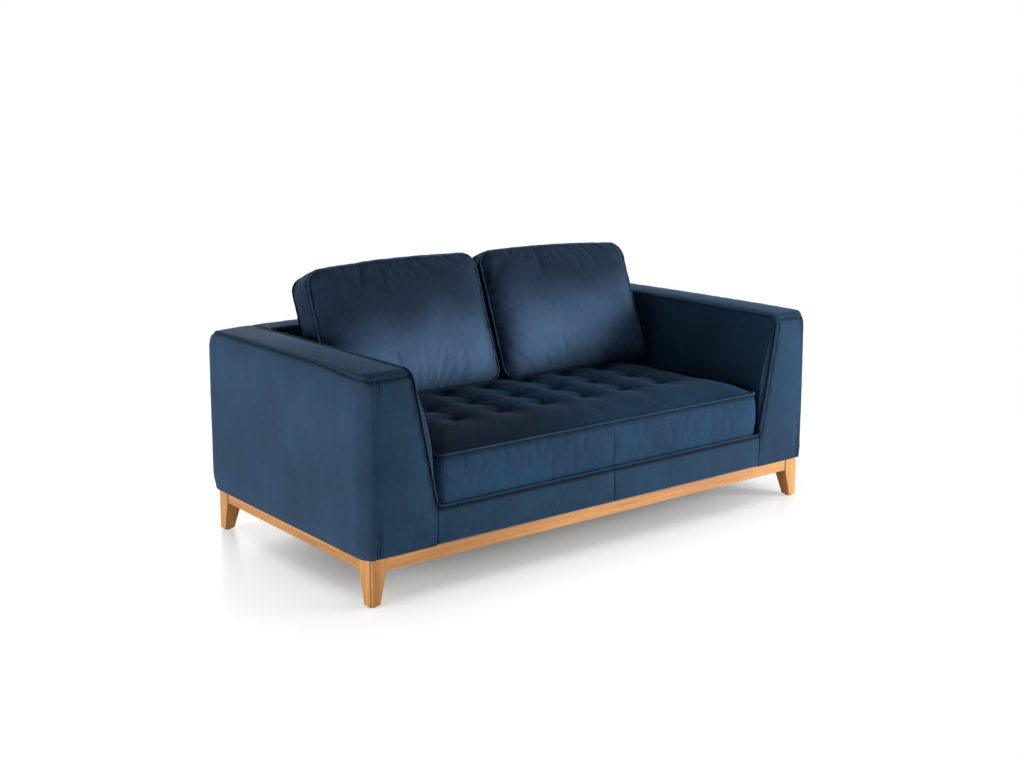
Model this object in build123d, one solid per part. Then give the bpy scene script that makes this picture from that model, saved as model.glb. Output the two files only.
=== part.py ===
"""Two-seat sofa with an upholstered tub, loose cushions and a wooden leg frame, in millimetres.

The origin is on the floor at the middle of the sofa, +X to the right, +Y to the rear and +Z up.
"""

import math
import os

from build123d import *

# Overall sizes
overall_width = 1800.0
overall_depth = 945.0
arm_height = 645.0
deck_height = 252.0
base_height = 140.0

# Upholstered arms, back and front border
arm_top_width = 150.0
arm_deck_width = 233.0
back_top_thickness = 118.0
back_lean = 6.0
outer_pad = 24.0
front_pad = 26.0
inner_pad = 28.0
top_pad = 30.0
end_pad = 14.0
arm_front_round = 30.0
edge_round = 16.0
bottom_round = 12.0
deck_thickness = 12.0

# Covered cord in the seams
welt_radius = 4.5
welt_corner = 25.0
welt_sides = 6
rod_sides = 12

# Clearances
seam_gap = 0.2
fit_gap = 0.3
rest_gap = 0.3

# Wooden leg frame
base_inset = 18.0
leg_side = 54.0
leg_foot_side = 33.0
leg_edge_round = 3.0
apron_height = 44.0
apron_thickness = 24.0
apron_setback = 3.0
apron_edge_round = 2.0
tenon_length = 20.0
tenon_thickness = 10.0
tenon_shoulder = 6.0
housing_depth = 8.0
block_reach = 75.0
block_height = 38.0
glide_diameter = 24.0
glide_height = 4.0
glide_pin_diameter = 4.0
glide_pin_length = 14.0
screw_diameter = 6.0
screw_head_diameter = 12.0
screw_head_height = 4.0
screw_bite = 18.0
screw_offset = 14.0
dust_cover_thickness = 1.5
dust_cover_margin = 5.0

# Hidden frame of boards and straps
board_thickness = 18.0
rail_thickness = 28.0
arm_base_rail_width = 90.0
flat_rail_height = 25.0
back_rail_width = 40.0
back_rib_thickness = 22.0
back_rib_count = 5
bearer_height = 50.0
strap_thickness = 2.5
strap_width = 60.0
seat_strap_count = 9
back_strap_count = 4
bolt_diameter = 8.0
bolt_head_diameter = 18.0
bolt_head_height = 5.0
nut_across_flats = 13.0
nut_height = 6.5
bolt_spacing = 360.0

# Seat cushion
seat_side_gap = 7.0
seat_front_inset = 6.0
seat_rear_gap = 6.0
seat_boxing = 143.0
seat_crown = 35.0
seat_corner = 34.0
seat_draw_in = 6.0
seat_wrap = 30.0
tuft_columns = 8
tuft_rows = 3
tuft_side_margin = 60.0
tuft_front_margin = 236.0
tuft_depth = 19.0
tuft_rim = 70.0
tuft_rise = 2.0
tuft_floor = 6.0
tuft_sides = 12
tuft_steps = 3
stitch_length = 9.0
stitch_diameter = 2.4

# Back cushions
back_cushion_overlap = 5.0
back_cushion_height = 455.0
back_cushion_boxing = 100.0
back_cushion_tilt = 21.0
back_cushion_gap = 16.0
back_cushion_front_crown = 50.0
back_cushion_rear_crown = 70.0
back_cushion_corner = 46.0
back_cushion_draw_in = 7.0
back_cushion_wrap = 26.0

# Crown of a cushion: an arc that rises from the edge in level steps, with short straight sides
crown_reach = 128.0
crown_steps = 4
corner_steps = 5
side_steps = 4

# Values that follow from the sizes above
half_width = overall_width / 2
front_y = welt_radius - overall_depth / 2
rear_y = overall_depth / 2
arm_slope = (arm_deck_width - arm_top_width) / (arm_height - deck_height)
back_slope = math.tan(math.radians(back_lean))
deck_x = half_width - arm_deck_width
arm_top_x = half_width - arm_top_width
back_top_y = rear_y - back_top_thickness
core_front_y = front_y + front_pad
core_rear_y = rear_y - outer_pad
core_side_x = half_width - outer_pad
core_top_z = arm_height - top_pad
deck_pad_z = deck_height - deck_thickness
rail_top_z = deck_pad_z - strap_thickness
base_front_y = front_y + base_inset
base_rear_y = rear_y - base_inset
base_side_x = half_width - base_inset
apron_bottom_z = base_height - apron_height
cord_seat = (welt_radius + fit_gap) / math.cos(math.radians(45) + math.atan(arm_slope) / 2)
edge_seat = (welt_radius + fit_gap) * math.sqrt(2)
tilt = math.radians(back_cushion_tilt)
back_cushion_width = deck_x + back_cushion_overlap - back_cushion_gap / 2


def block(x0, x1, y0, y1, z0, z1):
    """Return a box between two limits on each axis."""
    return Pos((x0 + x1) / 2, (y0 + y1) / 2, (z0 + z1) / 2) * Box(x1 - x0, y1 - y0, z1 - z0)


def prism_y(points, y0, y1):
    """Return the outline of (x, z) points carried from y0 to y1."""
    face = make_face(Plane.XZ.offset(-y0) * Polyline(*points, close=True))
    return extrude(face, y1 - y0, dir=(0, 1, 0))


def prism_x(points, x0, x1):
    """Return the outline of (y, z) points carried from x0 to x1."""
    face = make_face(Plane.YZ.offset(x0) * Polyline(*points, close=True))
    return extrude(face, x1 - x0, dir=(1, 0, 0))


def prism_z(points, z0, z1):
    """Return the outline of (x, y) points carried from z0 to z1."""
    face = make_face(Plane.XY.offset(z0) * Polyline(*points, close=True))
    return extrude(face, z1 - z0, dir=(0, 0, 1))


def rod_z(x, y, z0, z1, diameter):
    """Return an upright rod with flats in place of a round."""
    return extrude(Pos(x, y, z0) * RegularPolygon(diameter / 2, rod_sides), z1 - z0, dir=(0, 0, 1))


def rod_x(x0, x1, y, z, diameter):
    """Return a rod with flats in place of a round that lies along X."""
    end = Plane(origin=(x0, y, z), x_dir=(0, 1, 0), z_dir=(1, 0, 0))
    return extrude(end * RegularPolygon(diameter / 2, rod_sides), x1 - x0, dir=(1, 0, 0))


def near(shape, *points):
    """Return the edge of a shape that lies nearest to each point."""
    return [shape.edges().sort_by_distance(Vector(*point))[0] for point in points]


def mirrored(shape):
    """Return the left-hand twin of a right-hand piece."""
    return mirror(shape, about=Plane.YZ)


def save(name, *shapes):
    """Write one node, which is a single piece or a group of like pieces."""
    solids = [solid for shape in shapes for solid in shape.solids()]
    export_step(solids[0] if len(solids) == 1 else Compound(children=solids), f"parts/{name}.step")


def save_pair(name, shape):
    """Write a right-hand piece and its left-hand twin as two nodes."""
    save(f"{name}_right", shape)
    save(f"{name}_left", mirrored(shape))


def arm_face_x(z):
    """Return where the inner face of the right arm stands at a height."""
    return deck_x + max(z - deck_height, 0) * arm_slope


def back_face_y(z):
    """Return where the inner face of the back stands at a height."""
    return back_top_y - (arm_height - z) * back_slope


# Leg frame: four legs tapered on their inner faces, joined by tenoned aprons


def leg_profile(outer, inward, foot_z):
    """Return the outline of a leg seen from one side, from its outer face inward."""
    return [
        (outer, foot_z),
        (outer, base_height),
        (outer + inward * leg_side, base_height),
        (outer + inward * leg_side, apron_bottom_z),
        (outer + inward * leg_foot_side, foot_z),
    ]


def glide_spot(end):
    """Return the middle of the foot of a right leg, at the front (-1) or the rear (1)."""
    outer = base_front_y if end < 0 else base_rear_y
    return base_side_x - leg_foot_side / 2, outer - end * leg_foot_side / 2


def leg(end):
    """Return the right leg at the front (-1) or the rear (1), with its mortises and glide hole."""
    outer = base_front_y if end < 0 else base_rear_y
    inner_y = outer - end * leg_side
    body = prism_y(leg_profile(base_side_x, -1, glide_height), *sorted((outer, inner_y)))
    body = body & prism_x(leg_profile(outer, -end, glide_height), base_side_x - leg_side, base_side_x)
    corner = near(body, (base_side_x, outer, base_height / 2))
    body = fillet(corner, leg_edge_round)
    body = body - long_tenon(end, fit_gap) - side_tenon(end, fit_gap)
    x, y = glide_spot(end)
    pin_top = glide_height + glide_pin_length + fit_gap
    return body - rod_z(x, y, glide_height, pin_top, glide_pin_diameter + 2 * fit_gap)


def tenon_heights(gap):
    """Return the lower and upper limit of a tenon, grown by a gap for its mortise."""
    return apron_bottom_z + tenon_shoulder - gap, base_height - tenon_shoulder + gap


def long_tenon(end, gap):
    """Return the right tenon of the front (-1) or rear (1) apron, grown by a gap for its mortise."""
    outer = base_front_y if end < 0 else base_rear_y
    middle = outer - end * (apron_setback + apron_thickness / 2)
    half = tenon_thickness / 2 + gap
    shoulder = base_side_x - leg_side
    return block(shoulder, shoulder + tenon_length + gap, middle - half, middle + half, *tenon_heights(gap))


def side_tenon(end, gap):
    """Return one tenon of the right apron, grown by a gap for its mortise."""
    outer = base_front_y if end < 0 else base_rear_y
    middle = base_side_x - apron_setback - apron_thickness / 2
    half = tenon_thickness / 2 + gap
    shoulder = outer - end * leg_side
    limits = sorted((shoulder, shoulder + end * (tenon_length + gap)))
    return block(middle - half, middle + half, *limits, *tenon_heights(gap))


def apron_faces_y(end):
    """Return the outer and inner face of the front (-1) or rear (1) apron."""
    outer = (base_front_y if end < 0 else base_rear_y) - end * apron_setback
    return outer, outer - end * apron_thickness


def cross_rail(gap):
    """Return the middle rail between the long aprons, grown by a gap for its housings."""
    front = apron_faces_y(-1)[1] - housing_depth - gap
    rear = apron_faces_y(1)[1] + housing_depth + gap
    half = apron_thickness / 2 + gap
    return block(-half, half, front, rear, apron_bottom_z, base_height - dust_cover_thickness)


def long_apron(end):
    """Return the front (-1) or rear (1) apron with a tenon at each end and the middle housing."""
    outer, inner = apron_faces_y(end)
    length = base_side_x - leg_side
    body = block(-length, length, *sorted((outer, inner)), apron_bottom_z, base_height)
    body = fillet(near(body, (0, outer, apron_bottom_z), (0, inner, apron_bottom_z)), apron_edge_round)
    tenon = long_tenon(end, 0)
    return body + tenon + mirrored(tenon) - cross_rail(fit_gap)


def side_apron():
    """Return the right apron with a tenon at each end."""
    outer = base_side_x - apron_setback
    inner = outer - apron_thickness
    front, rear = base_front_y + leg_side, base_rear_y - leg_side
    body = block(inner, outer, front, rear, apron_bottom_z, base_height)
    body = fillet(near(body, (outer, 0, apron_bottom_z), (inner, 0, apron_bottom_z)), apron_edge_round)
    return body + side_tenon(-1, 0) + side_tenon(1, 0)


def screw_spot(end):
    """Return the place of the screw through a right corner block."""
    outer = base_front_y if end < 0 else base_rear_y
    return base_side_x - leg_side - screw_offset, outer - end * (leg_side + screw_offset)


def corner_block(end):
    """Return the right corner block behind the front (-1) or rear (1) leg, with its screw hole."""
    apron_y = apron_faces_y(end)[1]
    apron_x = base_side_x - apron_setback - apron_thickness
    leg_x = base_side_x - leg_side
    leg_y = (base_front_y if end < 0 else base_rear_y) - end * leg_side
    outline = [
        (leg_x - block_reach, apron_y),
        (leg_x, apron_y),
        (leg_x, leg_y),
        (apron_x, leg_y),
        (apron_x, leg_y - end * block_reach),
    ]
    body = prism_z(outline, base_height - block_height, base_height)
    x, y = screw_spot(end)
    return body - rod_z(x, y, 0, base_height, screw_diameter + 2 * fit_gap)


def base_screw(end):
    """Return the screw that ties the leg frame to the right arm."""
    x, y = screw_spot(end)
    seat = base_height - block_height
    head = rod_z(x, y, seat - screw_head_height, seat, screw_head_diameter)
    return head + rod_z(x, y, seat, base_height + screw_bite, screw_diameter)


def glide(end):
    """Return the glide under the right foot at the front (-1) or the rear (1)."""
    x, y = glide_spot(end)
    pin = rod_z(x, y, glide_height, glide_height + glide_pin_length, glide_pin_diameter)
    disc = Pos(x, y, glide_height / 2) * Cylinder(glide_diameter / 2, glide_height)
    return disc + pin


def dust_cover():
    """Return the thin cloth under the body, cut back at the corner blocks."""
    x = base_side_x - apron_setback - apron_thickness - dust_cover_margin
    front = apron_faces_y(-1)[1] + dust_cover_margin
    rear = apron_faces_y(1)[1] - dust_cover_margin
    cut = leg_side + block_reach - apron_setback - apron_thickness
    outline = [(x - cut, front), (x, front + cut), (x, rear - cut), (x - cut, rear)]
    outline = outline + [(-px, py) for px, py in reversed(outline)]
    return prism_z(outline, base_height - dust_cover_thickness, base_height)


# Arms: a padded cover over front and rear boards joined by three rails


def arm_core(gap):
    """Return the outline inside an arm cover, drawn in by a gap for the boards."""
    top = core_top_z - gap
    lip = rail_top_z - gap
    return [
        (deck_x, base_height),
        (core_side_x - gap, base_height),
        (core_side_x - gap, top),
        (arm_face_x(core_top_z) + inner_pad + gap, top),
        (arm_face_x(lip) + inner_pad + gap, lip),
        (deck_x, lip),
    ]


def arm_cover():
    """Return the right arm cover: round outer edges, a seat for the cord and a hollow for the frame."""
    outline = [
        (deck_x, base_height),
        (half_width, base_height),
        (half_width, arm_height),
        (arm_top_x, arm_height),
        (deck_x, deck_height),
    ]
    body = prism_y(outline, front_y, rear_y)
    middle_x = half_width - arm_top_width / 2
    body = fillet(near(body, (middle_x, front_y, arm_height)), arm_front_round)
    face_z = (arm_height + deck_height) / 2
    seat = [(arm_top_x, 0, arm_height), (arm_face_x(face_z), front_y, face_z)]
    bend = arm_front_round * (1 - math.sqrt(0.5))
    seat = seat + [(arm_face_x(arm_height - bend), front_y + bend, arm_height - bend)]
    body = chamfer(near(body, *seat), cord_seat)
    rounds = [(half_width, 0, arm_height), (half_width, front_y, face_z), (half_width, rear_y, face_z)]
    rounds = rounds + [(middle_x, rear_y, arm_height), (half_width, front_y + bend, arm_height - bend)]
    body = fillet(near(body, *rounds), edge_round)
    feet = [(half_width, 0, base_height), (middle_x, front_y, base_height), (middle_x, rear_y, base_height)]
    body = fillet(near(body, *feet), bottom_round)
    return body - prism_y(arm_core(0), core_front_y, core_rear_y)


def arm_base_rail():
    """Return the flat rail of the right arm that stands on the leg frame, with its screw holes."""
    outer = core_side_x - fit_gap
    y0, y1 = core_front_y + board_thickness, core_rear_y - board_thickness
    body = block(outer - arm_base_rail_width, outer, y0, y1, base_height, base_height + flat_rail_height)
    for end in (-1, 1):
        x, y = screw_spot(end)
        depth = screw_bite + fit_gap
        body = body - rod_z(x, y, base_height, base_height + depth, screw_diameter + 2 * fit_gap)
    return body


def bolt_spots():
    """Return the (y, z) places of the bolts between the seat frame and an arm."""
    z = (base_height + rail_top_z) / 2
    middle = (core_front_y + back_face_y(base_height)) / 2
    return [(middle - bolt_spacing / 2, z), (middle + bolt_spacing / 2, z)]


def bolt_holes(x0, x1):
    """Return the holes for the bolts of the right arm between two places along X."""
    return [rod_x(x0, x1, y, z, bolt_diameter + 2 * fit_gap) for y, z in bolt_spots()]


def arm_inner_rail():
    """Return the rail of the right arm that the seat frame is bolted to."""
    y0, y1 = core_front_y + board_thickness, core_rear_y - board_thickness
    body = block(deck_x, deck_x + rail_thickness, y0, y1, base_height, rail_top_z - fit_gap)
    return body - bolt_holes(deck_x, deck_x + rail_thickness)


def arm_top_rail():
    """Return the rail under the top pad of the right arm."""
    y0, y1 = core_front_y + board_thickness, core_rear_y - board_thickness
    x0 = arm_face_x(core_top_z) + inner_pad + fit_gap
    top = core_top_z - fit_gap
    return block(x0, core_side_x - fit_gap, y0, y1, top - flat_rail_height, top)


def arm_bolts():
    """Return the round-headed bolts of the right arm."""
    x0, x1 = deck_x - rail_thickness, deck_x + rail_thickness
    bolts = []
    for y, z in bolt_spots():
        shank = rod_x(x0, x1 + nut_height + bolt_diameter / 4, y, z, bolt_diameter)
        bolts.append(shank + rod_x(x0 - bolt_head_height, x0, y, z, bolt_head_diameter))
    return bolts


def arm_nuts():
    """Return the nuts of the right arm's bolts."""
    x = deck_x + rail_thickness
    flat_radius = nut_across_flats / 2
    hexagon = RegularPolygon(flat_radius, 6, major_radius=False)
    nuts = []
    for y, z in bolt_spots():
        body = extrude(Plane(origin=(x, y, z), x_dir=(0, 1, 0), z_dir=(1, 0, 0)) * hexagon, nut_height)
        nuts.append(body - rod_x(x, x + nut_height, y, z, bolt_diameter + 2 * fit_gap))
    return nuts


# Back: a padded cover over ribs, rails and straps


def back_width(inset, z0, z1):
    """Return the (x, z) outline between the arms, drawn in by an inset."""
    turn = max(z0, deck_height)
    right = [(arm_face_x(z0) - inset, z0), (arm_face_x(turn) - inset, turn), (arm_face_x(z1) - inset, z1)]
    right = right if z0 < deck_height else right[1:]
    return right + [(-x, z) for x, z in reversed(right)]


def back_cover():
    """Return the padded back between the arms, hollow for its frame and open below."""
    side = [
        (back_face_y(base_height), base_height),
        (rear_y, base_height),
        (rear_y, arm_height),
        (back_top_y, arm_height),
    ]
    body = prism_x(side, -half_width, half_width)
    body = chamfer(near(body, (0, back_top_y, arm_height)), cord_seat)
    body = fillet(near(body, (0, rear_y, arm_height)), edge_round)
    body = chamfer(near(body, (0, rear_y, base_height)), bottom_round)
    body = body & prism_y(back_width(seam_gap, base_height, arm_height), front_y, rear_y)
    hollow = [
        (back_face_y(base_height) + inner_pad, base_height),
        (core_rear_y, base_height),
        (core_rear_y, core_top_z),
        (back_face_y(core_top_z) + inner_pad, core_top_z),
    ]
    core = prism_x(hollow, -half_width, half_width)
    return body - (core & prism_y(back_width(end_pad, base_height, core_top_z), front_y, rear_y))


def back_rail(z0, z1):
    """Return a flat rail across the back between two heights."""
    x = arm_face_x(z0) - end_pad - fit_gap
    rear = core_rear_y - fit_gap
    return block(-x, x, rear - back_rail_width, rear, z0, z1)


def back_ribs():
    """Return the upright ribs whose front edges follow the lean of the back."""
    z0 = base_height + flat_rail_height
    z1 = core_top_z - fit_gap - flat_rail_height
    setback = inner_pad + strap_thickness + fit_gap
    rear = core_rear_y - fit_gap
    side = [(back_face_y(z0) + setback, z0), (rear, z0), (rear, z1), (back_face_y(z1) + setback, z1)]
    span = 2 * (deck_x - end_pad - back_rib_thickness)
    rib = prism_x(side, -back_rib_thickness / 2, back_rib_thickness / 2)
    return [Pos(span * (i / (back_rib_count - 1) - 0.5), 0, 0) * rib for i in range(back_rib_count)]


def back_straps():
    """Return the level straps across the ribs, flat against the inner pad."""
    z0 = deck_height + strap_width
    z1 = core_top_z - flat_rail_height - strap_width
    half = deck_x - end_pad - fit_gap
    straps = []
    for i in range(back_strap_count):
        middle = z0 + (z1 - z0) * i / (back_strap_count - 1)
        low, high = middle - strap_width / 2, middle + strap_width / 2
        near_low, near_high = back_face_y(low) + inner_pad, back_face_y(high) + inner_pad
        side = [(near_low, low), (near_low + strap_thickness, low)]
        side = side + [(near_high + strap_thickness, high), (near_high, high)]
        straps.append(prism_x(side, -half, half))
    return straps


# Seat: rails, straps, deck and the front border


def seat_rear_y():
    """Return the rear face of the seat frame, just ahead of the back."""
    return back_face_y(base_height) - seam_gap


def seat_side_rail():
    """Return the right rail of the seat frame with its bolt holes."""
    y0, y1 = core_front_y + rail_thickness, seat_rear_y() - rail_thickness
    body = block(deck_x - rail_thickness, deck_x, y0, y1, base_height, rail_top_z)
    return body - bolt_holes(deck_x - rail_thickness, deck_x)


def seat_straps():
    """Return the straps stretched from the front to the rear rail."""
    span = 2 * (deck_x - rail_thickness) - strap_width
    pitch = span / (seat_strap_count - 1)
    strap = block(
        -strap_width / 2, strap_width / 2, core_front_y, seat_rear_y(), rail_top_z, rail_top_z + strap_thickness
    )
    return [Pos(pitch * i - span / 2, 0, 0) * strap for i in range(seat_strap_count)]


def front_border():
    """Return the padded border that wraps the front rail of the seat."""
    x = deck_x - seam_gap
    body = block(-x, x, front_y, core_front_y + rail_thickness, base_height, deck_height)
    body = chamfer(near(body, (0, front_y, deck_height)), cord_seat)
    body = chamfer(near(body, (0, front_y, base_height)), bottom_round)
    return body - block(-x, x, core_front_y, core_front_y + rail_thickness, base_height, deck_pad_z)


def deck_pad():
    """Return the padded deck on the straps."""
    x = deck_x - seam_gap
    rear = back_face_y(deck_pad_z) - seam_gap
    return block(-x, x, core_front_y + rail_thickness, rear, deck_pad_z, deck_height)


def tub_welt():
    """Return the cord round the opening: along the arms and the back, and down across the front."""
    corners = [
        (deck_x, front_y, deck_height),
        (arm_top_x, front_y, arm_height),
        (arm_top_x, back_top_y, arm_height),
        (-arm_top_x, back_top_y, arm_height),
        (-arm_top_x, front_y, arm_height),
        (-deck_x, front_y, deck_height),
    ]
    radii = [welt_corner, arm_front_round, welt_corner, welt_corner, arm_front_round, welt_corner]
    return cord(FilletPolyline(*corners, radius=radii, close=True))


def cord(path):
    """Return a cord along a path."""
    start = Plane(origin=path @ 0, z_dir=path % 0)
    return sweep(start * RegularPolygon(welt_radius, welt_sides), path=path)


# Cushions: boxing between two outlines, with a crown that rises in steps from each edge


def outline(x0, x1, y0, y1, z, inset, corner, draw_in):
    """Return a level outline with round corners and sides that draw in towards their middles."""
    x0, x1, y0, y1 = x0 + inset, x1 - inset, y0 + inset, y1 - inset
    corners = [Vector(x0, y0), Vector(x1, y0), Vector(x1, y1), Vector(x0, y1)]
    inward = [Vector(0, 1), Vector(-1, 0), Vector(0, -1), Vector(1, 0)]
    sides = []
    for i in range(4):
        start, end = corners[i], corners[(i + 1) % 4]
        sides.append(ThreePointArc(start, (start + end) * 0.5 + inward[i] * draw_in, end))
    face = make_face(sides)
    return Pos(0, 0, z) * fillet(face.vertices(), max(corner - inset / 2, corner / 2))


def ring(face, inset):
    """Return the corners of an outline from its front side on, shrunk towards its middle by an inset."""
    box = face.bounding_box()
    middle = box.center()
    share = 1 - 2 * inset / min(box.size.X, box.size.Y)
    edges = face.face().outer_wire().order_edges()
    first = edges.index(min(edges, key=lambda edge: edge.position_at(0.5).Y))
    points = []
    for edge in edges[first:] + edges[:first]:
        steps = corner_steps if edge.length < crown_reach else side_steps
        points = points + [middle + (edge.position_at(i / steps) - middle) * share for i in range(steps)]
    return points


def stack(rings):
    """Return the closed form with flat sides through rings of corners, one above the other."""
    outlines = [rings[0], rings[-1]]
    for low, high in zip(rings, rings[1:]):
        for i in range(len(low)):
            outlines.append([low[i - 1], low[i], high[i]])
            outlines.append([low[i - 1], high[i], high[i - 1]])
    faces = [make_face(Polyline(*points, close=True)).face() for points in outlines]
    return Solid(Shell(faces))


def crown(edge, z, rise):
    """Return the rings of a crown over an outline that is drawn by edge(z), from its edge to its top."""
    rings = []
    for i in range(crown_steps + 1):
        turn = math.pi / 2 * i / crown_steps
        inset = edge_seat + (crown_reach - edge_seat) * (1 - math.cos(turn))
        rings.append(ring(edge(z + rise * math.sin(turn)), inset))
    return rings


def seat_outline(z, inset):
    """Return the outline of the seat cushion at a height."""
    x = deck_x - seat_side_gap
    front = front_y + seat_front_inset
    rear = back_face_y(deck_height) - seat_rear_gap
    return outline(-x, x, front, rear, z, inset, seat_corner, seat_draw_in)


seat_bottom_z = deck_height + rest_gap
seat_edge_z = seat_bottom_z + seat_boxing
seat_top_z = seat_edge_z + seat_crown


def tuft_spots():
    """Return the places of the sewn tufts on the seat cushion."""
    x = deck_x - seat_side_gap - tuft_side_margin
    front = front_y + seat_front_inset + tuft_front_margin
    rear = back_face_y(deck_height) - seat_rear_gap - tuft_front_margin
    columns = [x * (2 * i / (tuft_columns - 1) - 1) for i in range(tuft_columns)]
    rows = [front + (rear - front) * i / (tuft_rows - 1) for i in range(tuft_rows)]
    return [(column, row) for row in rows for column in columns]


def tuft_cutter():
    """Return the bell-mouthed hollow that a tuft pulls into the cushion."""
    reach = tuft_rim - tuft_floor
    drop = tuft_depth + tuft_rise
    bend = (reach**2 + drop**2) / (2 * drop)
    full = math.asin(reach / bend)
    rings = []
    for i in range(tuft_steps + 1):
        turn = full * (1 - i / tuft_steps)
        z = tuft_rise - bend * (1 - math.cos(turn))
        polygon = RegularPolygon(tuft_rim - bend * math.sin(turn), tuft_sides)
        rings.append([corner.center() + Vector(0, 0, z) for corner in polygon.face().outer_wire().vertices()])
    return stack(rings)


def seat_core(gap):
    """Return the filling of the seat cushion, grown by a gap for its hollow."""
    heights = [seat_bottom_z + seat_wrap - gap, seat_top_z - seat_wrap + gap]
    return stack([ring(seat_outline(z, seat_wrap - gap), 0) for z in heights])


def seat_cover():
    """Return the seat cushion cover with its crown, drawn-in sides and sewn tufts."""
    sections = [
        ring(seat_outline(seat_bottom_z, 0), edge_seat),
        ring(seat_outline(seat_bottom_z + edge_seat, 0), 0),
        ring(seat_outline(seat_edge_z - edge_seat, 0), 0),
    ]
    body = stack(sections + crown(lambda z: seat_outline(z, 0), seat_edge_z, seat_crown))
    cutter = tuft_cutter()
    body = body - [Pos(x, y, seat_top_z) * cutter for x, y in tuft_spots()]
    return body - seat_core(fit_gap)


def stitches():
    """Return the short bars of thread at the bottom of the tufts."""
    z = seat_top_z - tuft_depth + stitch_diameter / 2 + seam_gap
    half = stitch_length / 2
    return [rod_x(x - half, x + half, y, z, stitch_diameter) for x, y in tuft_spots()]


# A back cushion is drawn lying down, front face up, and then leant against the back

cushion_half = back_cushion_boxing / 2
cushion_rear_depth = cushion_half + back_cushion_rear_crown


def back_outline(side, inset, z):
    """Return the front (1) or rear (-1) outline of a back cushion; the rear one is shorter below."""
    x = back_cushion_width / 2
    bottom = 0 if side > 0 else back_cushion_boxing * math.tan(tilt)
    return outline(-x, x, bottom, back_cushion_height, z, inset, back_cushion_corner, back_cushion_draw_in)


def back_cushion_place():
    """Return the place that rests a right back cushion on the seat and against the cord of the back."""
    foot = seat_top_z + welt_radius + rest_gap
    z = foot - cushion_half * math.sin(tilt)
    reach = cushion_rear_depth + welt_radius + rest_gap
    lean = arm_height * math.sin(tilt) - back_top_y * math.cos(tilt) + reach
    y = (z * math.sin(tilt) - lean) / math.cos(tilt)
    x = (back_cushion_gap + back_cushion_width) / 2
    return Pos(x, y, z) * Rot(90 - back_cushion_tilt, 0, 0)


def back_core(gap):
    """Return the filling of a back cushion, grown by a gap for its hollow."""
    reach = cushion_half - back_cushion_wrap + gap
    return stack([ring(back_outline(-1, back_cushion_wrap - gap, z), 0) for z in (-reach, reach)])


def back_cushion_cover():
    """Return the cover of a back cushion with a crown at the front and at the rear."""
    rear = crown(lambda z: back_outline(-1, 0, z), -cushion_half, -back_cushion_rear_crown)
    sides = [
        ring(back_outline(-1, 0, edge_seat - cushion_half), 0),
        ring(back_outline(1, 0, cushion_half - edge_seat), 0),
    ]
    front = crown(lambda z: back_outline(1, 0, z), cushion_half, back_cushion_front_crown)
    return stack(rear[::-1] + sides + front) - back_core(fit_gap)


def edge_cord(face):
    """Return the cord round an outline."""
    return cord(face.face().outer_wire())


def main():
    """Build every piece and write it."""
    os.makedirs("parts", exist_ok=True)
    ends = (-1, 1)

    save_pair("leg_front", leg(-1))
    save_pair("leg_rear", leg(1))
    save("apron_front", long_apron(-1))
    save("apron_rear", long_apron(1))
    save_pair("apron_side", side_apron())
    save("base_cross_rail", cross_rail(0))
    blocks = [corner_block(end) for end in ends]
    save("corner_blocks", *blocks, *[mirrored(piece) for piece in blocks])
    screws = [base_screw(end) for end in ends]
    save("base_screws", *screws, *[mirrored(piece) for piece in screws])
    glides = [glide(end) for end in ends]
    save("leg_glides", *glides, *[mirrored(piece) for piece in glides])
    save("dust_cover", dust_cover())

    front_board = prism_y(arm_core(fit_gap), core_front_y, core_front_y + board_thickness)
    save_pair("arm_front_board", front_board)
    save_pair("arm_rear_board", prism_y(arm_core(fit_gap), core_rear_y - board_thickness, core_rear_y))
    save_pair("arm_top_rail", arm_top_rail())
    save_pair("arm_base_rail", arm_base_rail())
    save_pair("arm_inner_rail", arm_inner_rail())
    save("arm_bolts", *arm_bolts(), *[mirrored(bolt) for bolt in arm_bolts()])
    save("arm_bolt_nuts", *arm_nuts(), *[mirrored(nut) for nut in arm_nuts()])
    save_pair("arm_cover", arm_cover())

    rail_z = core_top_z - fit_gap
    save("back_base_rail", back_rail(base_height, base_height + flat_rail_height))
    save("back_top_rail", back_rail(rail_z - flat_rail_height, rail_z))
    save("back_ribs", *back_ribs())
    save("back_straps", *back_straps())
    save("back_cover", back_cover())

    front = core_front_y + rail_thickness
    rear = seat_rear_y() - rail_thickness
    save("seat_front_rail", block(-deck_x, deck_x, core_front_y, front, base_height, rail_top_z))
    save("seat_rear_rail", block(-deck_x, deck_x, rear, seat_rear_y(), base_height, rail_top_z))
    save("seat_side_rails", seat_side_rail(), mirrored(seat_side_rail()))
    half = rail_thickness / 2
    save("seat_centre_bearer", block(-half, half, front, rear, base_height, base_height + bearer_height))
    save("seat_straps", *seat_straps())
    save("front_border", front_border())
    save("deck_pad", deck_pad())
    save("tub_welt", tub_welt())

    save("seat_cushion_cover", seat_cover())
    save("seat_cushion_filling", seat_core(0))
    save("seat_cushion_welt", edge_cord(seat_outline(seat_edge_z, 0)))
    save("seat_cushion_stitches", *stitches())

    place = back_cushion_place()
    save_pair("back_cushion_cover", place * back_cushion_cover())
    save_pair("back_cushion_filling", place * back_core(0))
    save_pair("back_cushion_front_welt", place * edge_cord(back_outline(1, 0, cushion_half)))
    save_pair("back_cushion_rear_welt", place * edge_cord(back_outline(-1, 0, -cushion_half)))


main()
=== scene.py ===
"""Two-seat velvet sofa with loose cushions on a wooden leg frame, dressed over its CAD model.

Sizes are in metres in the frame of the CAD model: the origin is on the floor at the middle of the
sofa, +X to the right, +Y to the rear and +Z up.
"""

import logging
import math
from dataclasses import dataclass, field
from enum import Enum
from typing import Callable, Dict, Iterable, List, Optional, Sequence, Tuple, Union

import bmesh
import bpy
from mathutils import Matrix, Vector, noise


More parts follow.
